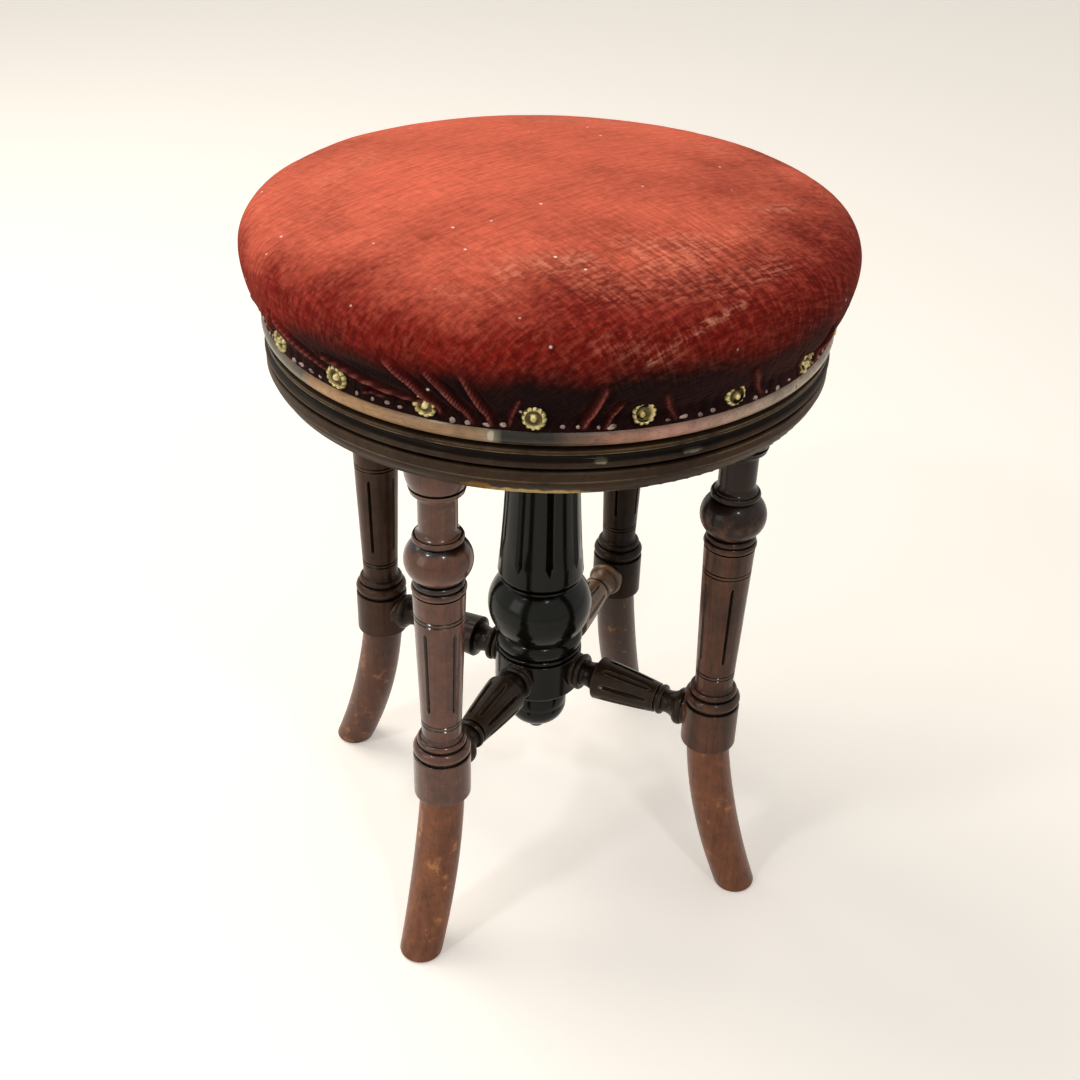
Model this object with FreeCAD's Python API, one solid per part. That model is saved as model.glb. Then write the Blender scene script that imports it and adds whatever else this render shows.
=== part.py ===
"""Revolving piano stool: a domed velvet seat on a lift screw, over four turned legs and a hollow column.

Millimetres. +Z is up, the origin is on the floor under the column, and -Y is the front.
"""
import math
import os

import FreeCAD
import Part

os.makedirs("parts", exist_ok=True)
Vec = FreeCAD.Vector

# Levels above the floor
platform_underside = 371.0
lower_board_h = 17.0
upper_board_h = 10.5
seat_gap = 3.3
foot_h = 119.0
stretcher_level = 138.0
block_underside = 122.0

# Seat
seat_board_r = 170.0
seat_board_h = 24.2
lip_h = 7.6
rebate = 3.2
cushion_overhang = 10.0
upper_roll_r = 20.0
lower_roll_r = 50.0
roll_rise = 24.0
crown_rise = 62.5
velvet_thickness = 1.6
soft_clearance = 0.3

# Lift screw and nut
thread_lead = 6.0
turns_of_lift = 16.0
screw_root_r = 9.6
screw_crest_r = 12.0
thread_foot_w = 4.0
thread_crest_w = 1.6
thread_clearance = 0.45
screw_margin = 6.0
nut_boss_r = 18.0
nut_boss_h = 33.5
flange_r = 46.0
flange_t = 5.0
flange_screw_ring_r = 37.0
seat_boss_r = 16.0
seat_boss_h = 11.0
screw_head_r = 9.0
pin_r = 2.5
washer_r = 30.0
bore_clearance = 1.4

# Wood screws in both flanges
wood_screw_count = 4
wood_screw_head_r = 4.8
wood_screw_head_h = 3.0
wood_screw_land = 0.4
wood_screw_shank_r = 2.3
wood_screw_length = 19.0
wood_screw_slot_w = 1.1

# Platform mouldings
platform_r = 168.7
platform_taper = 4.5
board_groove_h = 1.8
board_groove_depth = 4.0

# Column
column_bulb_r = 35.6
column_neck_r = 28.0
column_block_r = 30.0
column_block_h = 28.0
vase_foot_r = 29.0
vase_top_r = 23.6
vase_foot_level = 213.0
vase_h = 96.0
column_capital_r = 34.0
spigot_r = 24.0
column_flutes = 8
column_flute_turn = -5.0
column_flute_half_w = 3.0
column_flute_depth = 3.2
drop_length = 44.0
drop_r = 20.4
drop_dowel_r = 8.0
drop_dowel_h = 14.0

# Legs and feet
leg_ring_r = 130.0
leg_collar_r = 18.2
leg_collar_h = 32.0
leg_bulb_r = 20.7
leg_capital_r = 18.6
shaft_foot_r = 12.4
shaft_head_r = 15.9
leg_neck_r = 11.5
leg_tenon_r = 9.0
leg_flutes = 5
leg_flute_depth = 1.5
leg_flute_half_w = 1.3
leg_flute_turns = [68.0, 20.0, 44.0, 30.0]
foot_r = 14.2
foot_belly = 0.8
foot_splay = 31.5
foot_lead_angle = 6.0
foot_edge = 2.0
foot_dowel_r = 7.0
foot_dowel_h = 11.0

# Stretchers
stretcher_shoulder_r = 14.7
stretcher_waist_r = 9.8
stretcher_bead_r = 12.8
stretcher_tenon_r = 5.0
stretcher_tenon_l = 14.0
stretcher_flutes = 8
stretcher_flute_depth = 1.5
stretcher_flute_half_w = 2.0

# Nails and tacks round the seat's edge
nail_count = 19
nail_start = -110.3
nail_head_r = 7.3
nail_petals = 12
nail_petal_r = 1.35
nail_boss_h = 1.5
nail_rise = 8.2
nail_shank_r = 0.9
nail_shank_l = 11.0
tacks_between_nails = 4
tack_head_r = 1.9
tack_head_h = 1.0
tack_rise = 2.9
tack_scatter = 0.5
tack_shank_r = 0.6
tack_shank_l = 8.0

# Clearance of glued joints and recesses
fit = 0.1

# Levels that follow from the sizes above
lower_board_top = platform_underside + lower_board_h
platform_top = lower_board_top + upper_board_h
seat_underside = platform_top + seat_gap
lip_top = seat_underside + lip_h
seat_board_top = seat_underside + seat_board_h
covered_edge_r = seat_board_r - rebate
cushion_r = seat_board_r + cushion_overhang
travel = thread_lead * turns_of_lift
screw_bore_r = screw_crest_r + bore_clearance
nut_underside = platform_top - flange_t - nut_boss_h
screw_underside = nut_underside - travel - screw_margin
leg_angles = [-135.0, -45.0, 45.0, 135.0]
leg_names = ["front_left", "front_right", "back_right", "back_left"]


def turned(stations):
    """Solid of revolution about Z through (radius, height, bow) stations, from the bottom up.

    The bow is the rise of the arc that ends at the station: above 0 a bead, below 0 a hollow.
    """
    points = [Vec(s[0], 0, s[1]) for s in stations]
    edges = []
    for start, end, station in zip(points, points[1:], stations[1:]):
        bow = station[2] if len(station) > 2 else 0.0
        if bow:
            chord = end - start
            outward = Vec(chord.z, 0, -chord.x).normalize()
            middle = (start + end) * 0.5 + outward * bow
            edges.append(Part.Arc(start, middle, end).toShape())
        else:
            edges.append(Part.makeLine(start, end))
    edges.append(Part.makeLine(points[-1], points[0]))
    solid = Part.Face(Part.Wire(edges)).revolve(Vec(0, 0, 0), Vec(0, 0, 1), 360)
    if solid.Volume < 0:
        solid.reverse()
    return solid


def climb(level, steps):
    """Stations from (rise, radius, bow) steps, each rise counted from the step before."""
    stations = []
    for rise, radius, bow in steps:
        level += rise
        stations.append((radius, level, bow))
    return stations


def cap_bow(radius, rise):
    """Bow of the arc that closes a cap on the axis as part of a sphere."""
    sphere_r = (radius ** 2 + rise ** 2) / (2 * rise)
    return sphere_r * (1 - math.cos(math.asin(radius / sphere_r) / 2))


def rod(radius, start, end):
    """Cylinder between two points."""
    return Part.makeCylinder(radius, start.distanceToPoint(end), start, end - start)


def v_cutter(length, half_w, depth):
    """Cutter along Z for a V groove with pointed ends: its mouth is at X = 0, its edge at X = -depth."""
    def section(height):
        return Part.makePolygon([Vec(-depth, 0, height), Vec(depth, 2 * half_w, height),
                                 Vec(depth, -2 * half_w, height), Vec(-depth, 0, height)])
    reach = length / 2
    full = reach - 3 * half_w
    return Part.makeLoft([Part.Vertex(depth / 2, 0, -reach), section(-full), section(full),
                          Part.Vertex(depth / 2, 0, reach)], True, True)


def placed(shape, angle=0.0, offset=Vec(0, 0, 0), tilt=0.0):
    """Copy of a shape tilted about Y, moved, then turned about Z."""
    copy = shape.copy()
    copy.rotate(Vec(0, 0, 0), Vec(0, 1, 0), tilt)
    copy.translate(offset)
    copy.rotate(Vec(0, 0, 0), Vec(0, 0, 1), angle)
    return copy


def around(shape, count, start=0.0):
    """Copies of a shape spaced evenly about Z."""
    return [placed(shape, start + 360.0 * i / count) for i in range(count)]


def at_radius(shape, radius, angle):
    """Copy of a Z-axis shape stood at a radius from the column, with its +X side outwards."""
    return placed(shape, angle, Vec(radius, 0, 0))


def wood_screw(slack=0.0):
    """Countersunk screw with its head's face at the origin and its point along -Z."""
    shank_r = wood_screw_shank_r + slack
    head_r = wood_screw_head_r + slack
    tip = wood_screw_length + slack
    body = turned([(0, -tip), (shank_r, -tip + 2 * wood_screw_shank_r), (shank_r, -wood_screw_head_h),
                   (head_r, -wood_screw_land), (head_r, 0), (0, 0)])
    if slack:
        return body
    slot = Part.makeBox(2 * head_r + 2, wood_screw_slot_w, 1.0,
                        Vec(-head_r - 1, -wood_screw_slot_w / 2, -1.0))
    return body.cut(slot)


def screw_ring(level, upside_down, slack=0.0):
    """The screws of one flange."""
    screw = wood_screw(slack)
    if upside_down:
        screw.rotate(Vec(0, 0, 0), Vec(1, 0, 0), 180)
    screw.translate(Vec(flange_screw_ring_r, 0, level))
    return around(screw, wood_screw_count, 45.0 if upside_down else 0.0)


def thread(low, high, slack=0.0):
    """Threaded length of the lift screw; with slack, the void it runs in."""
    root = screw_root_r + slack
    crest = screw_crest_r + slack
    half_foot = thread_foot_w / 2 + slack
    half_crest = thread_crest_w / 2 + slack
    # The flanks run on into the core, so that they cross its surface cleanly
    sunk = 0.8
    half_sunk = half_foot + sunk * (half_foot - half_crest) / (crest - root)
    section = Part.makePolygon([Vec(root - sunk, 0, -half_sunk), Vec(crest, 0, -half_crest),
                                Vec(crest, 0, half_crest), Vec(root - sunk, 0, half_sunk),
                                Vec(root - sunk, 0, -half_sunk)])
    helix = Part.makeHelix(thread_lead, high - low, root)
    ridge = Part.Wire(helix.Edges).makePipeShell([section], True, True)
    ridge.translate(Vec(0, 0, low))
    core = Part.makeCylinder(root, high - low + 2 * thread_lead, Vec(0, 0, low - thread_lead))
    return core.fuse(ridge)


# Lower platform board: hollow-edged disc that takes the legs and the column
lower_board = turned([
    (0, platform_underside), (platform_r - platform_taper - 1.5, platform_underside),
    (platform_r - platform_taper, platform_underside + 1.5, 0.4),
    (platform_r - platform_taper + 1.2, platform_underside + 3.4),
    (platform_r - 0.8, platform_underside + 8.5, 0.5),
    (platform_r, platform_underside + 9.5),
    (platform_r, lower_board_top - board_groove_h - 0.8),
    (platform_r - 0.8, lower_board_top - board_groove_h, 0.2),
    (platform_r - board_groove_depth, lower_board_top - board_groove_h),
    (platform_r - board_groove_depth, lower_board_top), (0, lower_board_top)])
leg_socket = Part.makeCylinder(leg_tenon_r + fit, lower_board_h, Vec(0, 0, platform_underside))
spigot_hole = Part.makeCylinder(spigot_r + fit, lower_board_h, Vec(0, 0, platform_underside))
board_cuts = [at_radius(leg_socket, leg_ring_r, a) for a in leg_angles]
board_cuts += [spigot_hole] + screw_ring(platform_top, False, fit)
lower_board = lower_board.cut(board_cuts)

# Upper platform board: a bead over a hollow, with the nut flange let into its top
upper_board = turned([
    (0, lower_board_top), (platform_r - 1.6, lower_board_top),
    (platform_r - 1.4, lower_board_top + 4.2, 1.9),
    (platform_r - 2.6, lower_board_top + 5.0),
    (platform_r - 2.4, platform_top - 2.6, -0.7),
    (platform_r - 0.6, platform_top - 2.2), (platform_r - 0.6, platform_top - 0.6),
    (platform_r - 1.2, platform_top, 0.2), (0, platform_top)])
flange_recess = Part.makeCylinder(flange_r + fit, flange_t, Vec(0, 0, platform_top - flange_t))
boss_hole = Part.makeCylinder(nut_boss_r + fit, upper_board_h, Vec(0, 0, lower_board_top))
upper_board = upper_board.cut([flange_recess, boss_hole] + screw_ring(platform_top, False, fit))

# Column: block for the stretchers, bead, neck, bulb, thin ring, fluted vase, capital and spigot
block_top = block_underside + column_block_h
vase_top = vase_foot_level + vase_h
column = turned(climb(block_underside, [
    (0, 0, 0), (0, column_block_r - 1.0, 0), (1.0, column_block_r, 0.3),
    (column_block_h - 2.0, column_block_r, 0), (1.0, column_block_r - 1.0, 0.3),
    (0, column_block_r - 2.4, 0), (1.2, column_block_r - 2.4, 0), (0, column_block_r - 1.2, 0),
    (2.4, column_block_r - 1.2, 0.6), (0, column_block_r - 2.2, 0), (0.8, column_block_r - 2.2, 0),
    (11.0, column_neck_r - 1.0, 2.8)])
    + [(column_bulb_r, block_top + 36.0, 2.0), (vase_foot_r - 3.0, vase_foot_level - 6.0, 2.6)]
    + climb(vase_foot_level - 6.0, [
        (0, vase_foot_r - 4.0, 0), (0.8, vase_foot_r - 4.0, 0), (0, vase_foot_r - 2.2, 0),
        (2.2, vase_foot_r - 2.2, 0.9), (0, vase_foot_r - 3.4, 0), (0.8, vase_foot_r - 3.4, 0),
        (2.8, vase_foot_r, 0.7), (1.6, vase_foot_r, 0.1)])
    + [(vase_top_r, vase_top, -0.8)]
    + climb(vase_top, [
        (0, vase_top_r - 1.4, 0), (1.4, vase_top_r - 1.4, 0), (0, vase_top_r + 1.0, 0),
        (6.0, vase_top_r + 1.0, 2.4), (0, vase_top_r - 1.0, 0)])
    + [(column_capital_r - 3.0, platform_underside - 16.0, -4.5),
       (column_capital_r - 3.0, platform_underside - 14.5),
       (column_capital_r - 2.6, platform_underside - 4.5, 2.6),
       (column_capital_r - 0.6, platform_underside - 3.6),
       (column_capital_r - 0.6, platform_underside), (spigot_r, platform_underside),
       (spigot_r, lower_board_top), (0, lower_board_top)])

flute_slope = math.degrees(math.atan2(vase_foot_r - vase_top_r, vase_h))
flute = v_cutter(vase_h - 12.0, column_flute_half_w, column_flute_depth)
flute_axis_r = (vase_foot_r + vase_top_r) / 2 - 0.6
flute = placed(flute, 0, Vec(flute_axis_r, 0, vase_foot_level + vase_h / 2 + 1.5), -flute_slope)
screw_bore = Part.makeCylinder(screw_bore_r, lower_board_top, Vec(0, 0, screw_underside - 8.0))
boss_bore = Part.makeCylinder(nut_boss_r + fit, lower_board_top, Vec(0, 0, nut_underside - fit))
drop_socket = Part.makeCylinder(drop_dowel_r + fit, drop_dowel_h + 1, Vec(0, 0, block_underside))
mortise_start = Vec(column_block_r - stretcher_tenon_l - 1, 0, stretcher_level)
mortise = rod(stretcher_tenon_r + fit, mortise_start, Vec(column_block_r + 5, 0, stretcher_level))
column = column.cut(around(flute, column_flutes, column_flute_turn))
column = column.cut([screw_bore, boss_bore, drop_socket] + [placed(mortise, a) for a in leg_angles])

# Drop: ring, inverted dome and button under the column
column_drop = turned(climb(block_underside - drop_length, [
    (0, 0, 0), (0.0, 3.4, 0), (3.6, 6.2, 1.1), (3.4, 5.2, 0.6), (0.6, 8.4, 0)])
    + [(drop_r, block_underside - 19.0, 4.4), (drop_r - 1.0, block_underside - 8.4, 0.8)]
    + climb(block_underside - 8.4, [
        (0, drop_r - 2.4, 0), (1.4, drop_r - 2.4, 0), (0, drop_r + 1.6, 0), (4.6, drop_r + 1.6, 1.7),
        (0, drop_r, 0), (2.4, drop_r, 0)])
    + [(drop_dowel_r, block_underside), (drop_dowel_r, block_underside + drop_dowel_h),
       (0, block_underside + drop_dowel_h)])

# Leg: collar, ring, tapered fluted shaft, ring, bulb, long neck, capital and tenon
mouldings_h = 96.0
foot_mouldings_h = leg_collar_h + 17.0
shaft_low = foot_h + foot_mouldings_h
shaft_high = platform_underside - mouldings_h
shaft_h = shaft_high - shaft_low


def shaft_r(level):
    """Radius of the tapered shaft at a level."""
    return shaft_foot_r + (shaft_head_r - shaft_foot_r) * (level - shaft_low) / shaft_h


def shaft_groove_pair(level):
    """Stations of two V grooves round the shaft, the lower one starting at the level."""
    return [(shaft_r(level + rise) - depth, level + rise) for rise, depth in (
        (0, 0), (0.7, 0.8), (1.4, 0), (2.6, 0), (3.3, 0.8), (4.0, 0))]


leg = turned(climb(foot_h, [
    (0, 0, 0), (0, leg_collar_r - 0.9, 0), (0.9, leg_collar_r, 0.25),
    (leg_collar_h - 1.8, leg_collar_r, 0), (0.9, leg_collar_r - 0.9, 0.25),
    (0, leg_collar_r - 1.8, 0), (1.2, leg_collar_r - 1.8, 0), (7.6, leg_collar_r - 2.4, 2.1),
    (0, shaft_foot_r + 2.4, 0), (0.8, shaft_foot_r + 2.4, 0), (4.2, shaft_foot_r + 1.6, 1.1),
    (0, shaft_foot_r + 0.8, 0), (3.2, shaft_foot_r, -0.4)])
    + shaft_groove_pair(shaft_low + 8.0) + shaft_groove_pair(shaft_high - 18.6)
    + climb(shaft_high, [
        (0, shaft_head_r, 0), (0, shaft_head_r - 0.9, 0), (0.8, shaft_head_r - 0.9, 0),
        (0, shaft_head_r - 0.3, 0), (4.0, shaft_head_r - 0.3, 0.9), (0, shaft_head_r - 1.2, 0),
        (0.6, shaft_head_r - 1.2, 0), (3.4, shaft_head_r - 1.2, 0.8), (0.8, shaft_head_r - 2.6, 0),
        (0.6, leg_bulb_r - 6.4, 0), (24.6, leg_bulb_r - 6.8, 6.3),
        (0, leg_bulb_r - 7.2, 0), (0.8, leg_bulb_r - 7.2, 0), (0, leg_bulb_r - 6.2, 0),
        (3.8, leg_bulb_r - 6.2, 0.8), (0, leg_bulb_r - 7.2, 0), (1.0, leg_bulb_r - 7.4, 0),
        (5.0, leg_neck_r, -0.8)])
    + climb(platform_underside - 33.0, [
        (0, leg_neck_r, 0), (5.0, leg_capital_r - 3.4, -1.2), (0.4, leg_capital_r - 2.8, 0),
        (3.0, leg_capital_r - 2.0, 0), (0, leg_capital_r - 3.6, 0), (1.4, leg_capital_r - 3.6, 0),
        (0.4, leg_capital_r - 1.8, 0), (13.0, leg_capital_r + 0.4, 0.7)])
    + [(leg_capital_r + 0.4, platform_underside), (leg_tenon_r, platform_underside),
       (leg_tenon_r, lower_board_top - 0.5), (0, lower_board_top - 0.5)])
leg_flute_low = shaft_low + 20.0
leg_flute_high = shaft_high - 22.0
leg_flute_level = (leg_flute_low + leg_flute_high) / 2
leg_flute = v_cutter(leg_flute_high - leg_flute_low, leg_flute_half_w, leg_flute_depth)
leg_taper = math.degrees(math.atan2(shaft_head_r - shaft_foot_r, shaft_h))
leg_flute = placed(leg_flute, 0, Vec(shaft_r(leg_flute_level), 0, leg_flute_level), leg_taper)
leg_mortise = rod(stretcher_tenon_r + fit, Vec(-leg_collar_r - 5, 0, stretcher_level),
                  Vec(-leg_collar_r + stretcher_tenon_l + 1, 0, stretcher_level))
foot_socket = Part.makeCylinder(foot_dowel_r + fit, foot_dowel_h + 1, Vec(0, 0, foot_h))
leg = leg.cut([leg_mortise, foot_socket])
fluted_legs = [leg.cut(around(leg_flute, leg_flutes, turn)) for turn in leg_flute_turns]

# Foot: round-section sabre curve from the collar out to the floor
lead = math.radians(foot_lead_angle)
# The centre line is an arc whose slope at the floor brings it out by the splay
end = 2 * math.atan2(foot_splay, foot_h) - lead
sweep_r = foot_h / (math.sin(end) - math.sin(lead))


def foot_section(share):
    """Level ring of the foot at a share of its height below the collar."""
    drop = foot_h * share
    angle = math.asin(math.sin(lead) + drop / sweep_r)
    out = sweep_r * (math.cos(lead) - math.cos(angle))
    radius = foot_r + foot_belly * math.sin(math.pi * share)
    return Part.Wire(Part.makeCircle(radius, Vec(out, 0, foot_h - drop)))


foot = Part.makeLoft([foot_section(i / 6.0) for i in range(7)], True, False)
sole = [edge for edge in foot.Edges if edge.BoundBox.ZMax < 0.5]
foot = foot.makeFillet(foot_edge, sole)
foot = foot.fuse(Part.makeCylinder(foot_dowel_r, foot_dowel_h + foot_r, Vec(0, 0, foot_h - foot_r)))

# Stretcher: lies along X from the column block to the leg collar, turned with a stepped taper
inner_end = column_block_r - stretcher_tenon_l
outer_end = leg_ring_r - leg_collar_r + stretcher_tenon_l
inner_bead = column_block_r - 2.0
outer_bead = leg_ring_r - leg_collar_r - 5.4
shoulder = column_block_r + 18.0
waist = outer_bead - 9.0
neck_r = stretcher_waist_r - 1.8
stretcher = turned([
    (0, inner_end), (stretcher_tenon_r, inner_end), (stretcher_tenon_r, inner_bead),
    (stretcher_bead_r - 2.2, inner_bead), (stretcher_bead_r - 2.2, inner_bead + 4.4, 1.4),
    (stretcher_bead_r - 1.4, inner_bead + 4.4), (stretcher_bead_r - 1.4, inner_bead + 8.6, 1.4),
    (stretcher_waist_r - 0.6, inner_bead + 8.6), (stretcher_waist_r + 1.2, shoulder - 2.0, -1.2),
    (stretcher_shoulder_r - 0.8, shoulder - 0.8), (stretcher_shoulder_r, shoulder, 0.2),
    (stretcher_waist_r + 0.4, waist - 5.6, 0.4), (stretcher_waist_r - 1.0, waist - 5.0),
    (stretcher_waist_r - 1.0, waist - 4.2), (stretcher_waist_r, waist - 3.8),
    (stretcher_waist_r, waist - 0.6, 0.6), (neck_r, waist),
    (stretcher_bead_r - 2.6, outer_bead - 0.6, -1.0), (stretcher_bead_r - 1.4, outer_bead),
    (stretcher_bead_r - 1.4, outer_bead + 6.0, 1.4), (stretcher_bead_r - 1.4, outer_bead + 9.0),
    (stretcher_tenon_r, outer_bead + 9.0), (stretcher_tenon_r, outer_end), (0, outer_end)])
body_l = waist - 8.0 - shoulder
body_taper = math.degrees(math.atan2(stretcher_shoulder_r - stretcher_waist_r, waist - shoulder))
groove = v_cutter(body_l, stretcher_flute_half_w, stretcher_flute_depth)
groove = placed(groove, 0, Vec((stretcher_shoulder_r + stretcher_waist_r) / 2 + 0.6, 0,
                               shoulder + 2.0 + body_l / 2), -body_taper)
stretcher = stretcher.cut(around(groove, stretcher_flutes, 30.0))
stretcher = placed(stretcher, 0, Vec(0, 0, stretcher_level), 90)
block = Part.makeCylinder(column_block_r, column_block_h, Vec(0, 0, block_underside))
collar = Part.makeCylinder(leg_collar_r, leg_collar_h, Vec(leg_ring_r, 0, foot_h))
inner_tenon = rod(stretcher_tenon_r, Vec(inner_end, 0, stretcher_level), Vec(shoulder, 0, stretcher_level))
outer_tenon = rod(stretcher_tenon_r, Vec(waist, 0, stretcher_level), Vec(outer_end, 0, stretcher_level))
stretcher = stretcher.cut([block, collar]).fuse([inner_tenon, outer_tenon])

# Nut: cast flange and boss with the internal thread
nut = turned([(0, nut_underside), (nut_boss_r, nut_underside), (nut_boss_r, platform_top - flange_t),
              (flange_r, platform_top - flange_t), (flange_r, platform_top - 0.6),
              (flange_r - 0.6, platform_top), (0, platform_top)])
turns_below_nut = math.floor((nut_underside - screw_underside) / thread_lead) - 2
nut_thread_low = screw_underside + turns_below_nut * thread_lead
nut = nut.cut(thread(nut_thread_low, platform_top + thread_lead, thread_clearance))
nut = nut.cut(screw_ring(platform_top, False, fit))
nut_screws = Part.makeCompound(screw_ring(platform_top, False))

# Lift screw: threaded below the platform top, plain where the flange grips it
head_top = seat_underside + flange_t + seat_boss_h
screw = thread(screw_underside, platform_top - 2 * thread_lead)
screw = screw.cut(Part.makeCylinder(screw_bore_r, 2 * thread_lead,
                                    Vec(0, 0, screw_underside - 2 * thread_lead)))
head_low = platform_top - 2 * thread_lead
head = turned([(0, head_low), (screw_root_r, head_low), (screw_root_r, seat_underside),
               (screw_head_r, seat_underside), (screw_head_r, head_top - 0.6),
               (screw_head_r - 0.6, head_top), (0, head_top)])
screw = screw.fuse(head)
pin_level = seat_underside + flange_t + seat_boss_h / 2
pin_reach = seat_boss_r - 0.5
pin_hole = rod(pin_r + fit, Vec(-seat_boss_r - 1, 0, pin_level), Vec(seat_boss_r + 1, 0, pin_level))
screw = screw.cut(pin_hole)
screw_pin = rod(pin_r, Vec(-pin_reach, 0, pin_level), Vec(pin_reach, 0, pin_level))

# Seat flange: cast plate let into the seat board, its boss pinned to the screw
seat_flange = turned([
    (screw_head_r + fit, seat_underside), (flange_r - 0.6, seat_underside),
    (flange_r, seat_underside + 0.6), (flange_r, seat_underside + flange_t),
    (seat_boss_r + 2, seat_underside + flange_t), (seat_boss_r, seat_underside + flange_t + 2, -0.6),
    (seat_boss_r, head_top), (screw_head_r + fit, head_top)])
seat_flange = seat_flange.cut([pin_hole] + screw_ring(seat_underside, True, fit))
flange_screws = Part.makeCompound(screw_ring(seat_underside, True))

# Leather washer between the two flanges
leather_washer = turned([(screw_bore_r, platform_top), (washer_r, platform_top),
                         (washer_r, seat_underside), (screw_bore_r, seat_underside)])

# Seat board: a bead shows below the velvet, the rest is a covered edge
seat_board = turned([
    (0, seat_underside), (seat_board_r - 2.0, seat_underside),
    (seat_board_r - 1.4, seat_underside + 1.0),
    (seat_board_r - 1.2, lip_top - 0.8, 1.2), (seat_board_r - 2.0, lip_top),
    (covered_edge_r, lip_top), (covered_edge_r, seat_board_top - 2.0),
    (covered_edge_r - 2.0, seat_board_top, 0.6), (0, seat_board_top)])
seat_board = seat_board.cut([
    Part.makeCylinder(flange_r + fit, flange_t, Vec(0, 0, seat_underside)),
    Part.makeCylinder(seat_boss_r + 2.2, seat_boss_h + flange_t + 0.5, Vec(0, 0, seat_underside))]
    + screw_ring(seat_underside, True, fit))

# Cushion: a drawn-in edge, a rounded roll and a low crown
roll_level = seat_board_top + roll_rise
crown_level = seat_board_top + crown_rise
upper_centre_r = cushion_r - upper_roll_r
lower_centre_r = cushion_r - lower_roll_r
crown_gap = crown_level - roll_level
crown_r = ((upper_centre_r ** 2 + crown_gap ** 2 - upper_roll_r ** 2)
           / (2 * (crown_gap - upper_roll_r)))


def cushion_stations(inset, low):
    """Outline of the cushion, set in from its outer face, above a level."""
    edge_r = covered_edge_r + soft_clearance + velvet_thickness - inset
    lower = lower_roll_r - inset
    upper = upper_roll_r - inset
    turn_in = math.acos((edge_r - lower_centre_r) / lower)
    slope = math.atan2(upper_centre_r, crown_r - crown_gap)
    lower_bow = lower * (1 - math.cos(turn_in / 2))
    upper_bow = upper * (1 - math.cos((math.pi / 2 - slope) / 2))
    crown_bow = (crown_r - inset) * (1 - math.cos(slope / 2))
    joint_r = upper_centre_r + upper * math.sin(slope)
    joint_level = roll_level + upper * math.cos(slope)
    return [(edge_r, low), (edge_r, roll_level - lower * math.sin(turn_in)),
            (cushion_r - inset, roll_level, lower_bow), (joint_r, joint_level, upper_bow),
            (0, crown_level - inset, crown_bow)]


cover_low = lip_top + soft_clearance
velvet_cover = turned([(0, cover_low)] + cushion_stations(0.0, cover_low))
hollow = turned([(0, cover_low - 1)] + cushion_stations(velvet_thickness, cover_low - 1))
velvet_cover = velvet_cover.cut(hollow)
pad_inset = velvet_thickness + soft_clearance
pad_low = seat_board_top + soft_clearance
stuffing_pad = turned([(0, cover_low)] + cushion_stations(pad_inset, cover_low))
stuffing_pad = stuffing_pad.cut(Part.makeCylinder(cushion_r, pad_low, Vec(0, 0, 0)))

# Rosette nails: a petalled rim round a dished centre boss
rosette = turned([(0, -nail_shank_l), (nail_shank_r, -nail_shank_l + 2 * nail_shank_r), (nail_shank_r, 0),
                  (0.84 * nail_head_r, 0), (0.88 * nail_head_r, 0.1 * nail_head_r, 0.014 * nail_head_r),
                  (0.67 * nail_head_r, 0.2 * nail_head_r, 0.04 * nail_head_r),
                  (0.51 * nail_head_r, 0.12 * nail_head_r, -0.034 * nail_head_r),
                  (0.44 * nail_head_r, 0.14 * nail_head_r),
                  (0, 0.14 * nail_head_r + nail_boss_h, cap_bow(0.44 * nail_head_r, nail_boss_h))])
petal = Part.makeSphere(nail_petal_r)
petal.translate(Vec(nail_head_r - nail_petal_r, 0, 0.55 * nail_petal_r))
face_side = Part.makeCylinder(2 * nail_head_r, 2 * nail_head_r)
petals = [p.common(face_side) for p in around(petal, nail_petals)]
rosette = rosette.fuse(petals)
edge_face_r = covered_edge_r + soft_clearance + velvet_thickness
nail_level = lip_top + nail_rise
brass_nails = Part.makeCompound(around(
    placed(rosette, 0, Vec(edge_face_r, 0, nail_level), 90), nail_count, nail_start))

# Upholstery tacks: small domed heads in the runs between the nails
tack = turned([(0, -tack_shank_l), (tack_shank_r, -tack_shank_l + 3 * tack_shank_r), (tack_shank_r, 0),
               (tack_head_r, 0), (0, tack_head_h, cap_bow(tack_head_r, tack_head_h))])
nail_pitch = 360.0 / nail_count
tacks = []
for nail in range(nail_count):
    for i in range(tacks_between_nails):
        angle = nail_start + nail_pitch * (nail + 0.26 + 0.48 * i / (tacks_between_nails - 1))
        level = lip_top + tack_rise + tack_scatter * math.sin(2.4 * nail + 1.9 * i)
        tacks.append(placed(tack, angle, Vec(edge_face_r, 0, level), 90))
upholstery_tacks = Part.makeCompound(tacks)

nodes = {
    "platform_lower_board": lower_board,
    "platform_upper_board": upper_board,
    "column": column,
    "column_drop": column_drop,
    "screw_nut": nut,
    "nut_screws": nut_screws,
    "leather_washer": leather_washer,
    "lift_screw": screw,
    "screw_pin": screw_pin,
    "seat_flange": seat_flange,
    "flange_screws": flange_screws,
    "seat_board": seat_board,
    "stuffing_pad": stuffing_pad,
    "velvet_cover": velvet_cover,
    "brass_nails": brass_nails,
    "upholstery_tacks": upholstery_tacks,
}
for name, angle, fluted_leg in zip(leg_names, leg_angles, fluted_legs):
    nodes["leg_" + name] = at_radius(fluted_leg, leg_ring_r, angle)
    nodes["foot_" + name] = at_radius(foot, leg_ring_r, angle)
    nodes["stretcher_" + name] = placed(stretcher, angle)

for name, shape in nodes.items():
    shape.exportStep("parts/" + name + ".step")
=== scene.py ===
"""Looks of a revolving piano stool: a worn velvet seat over polished turned legs and an ebonised column."""
import math
import random

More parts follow.
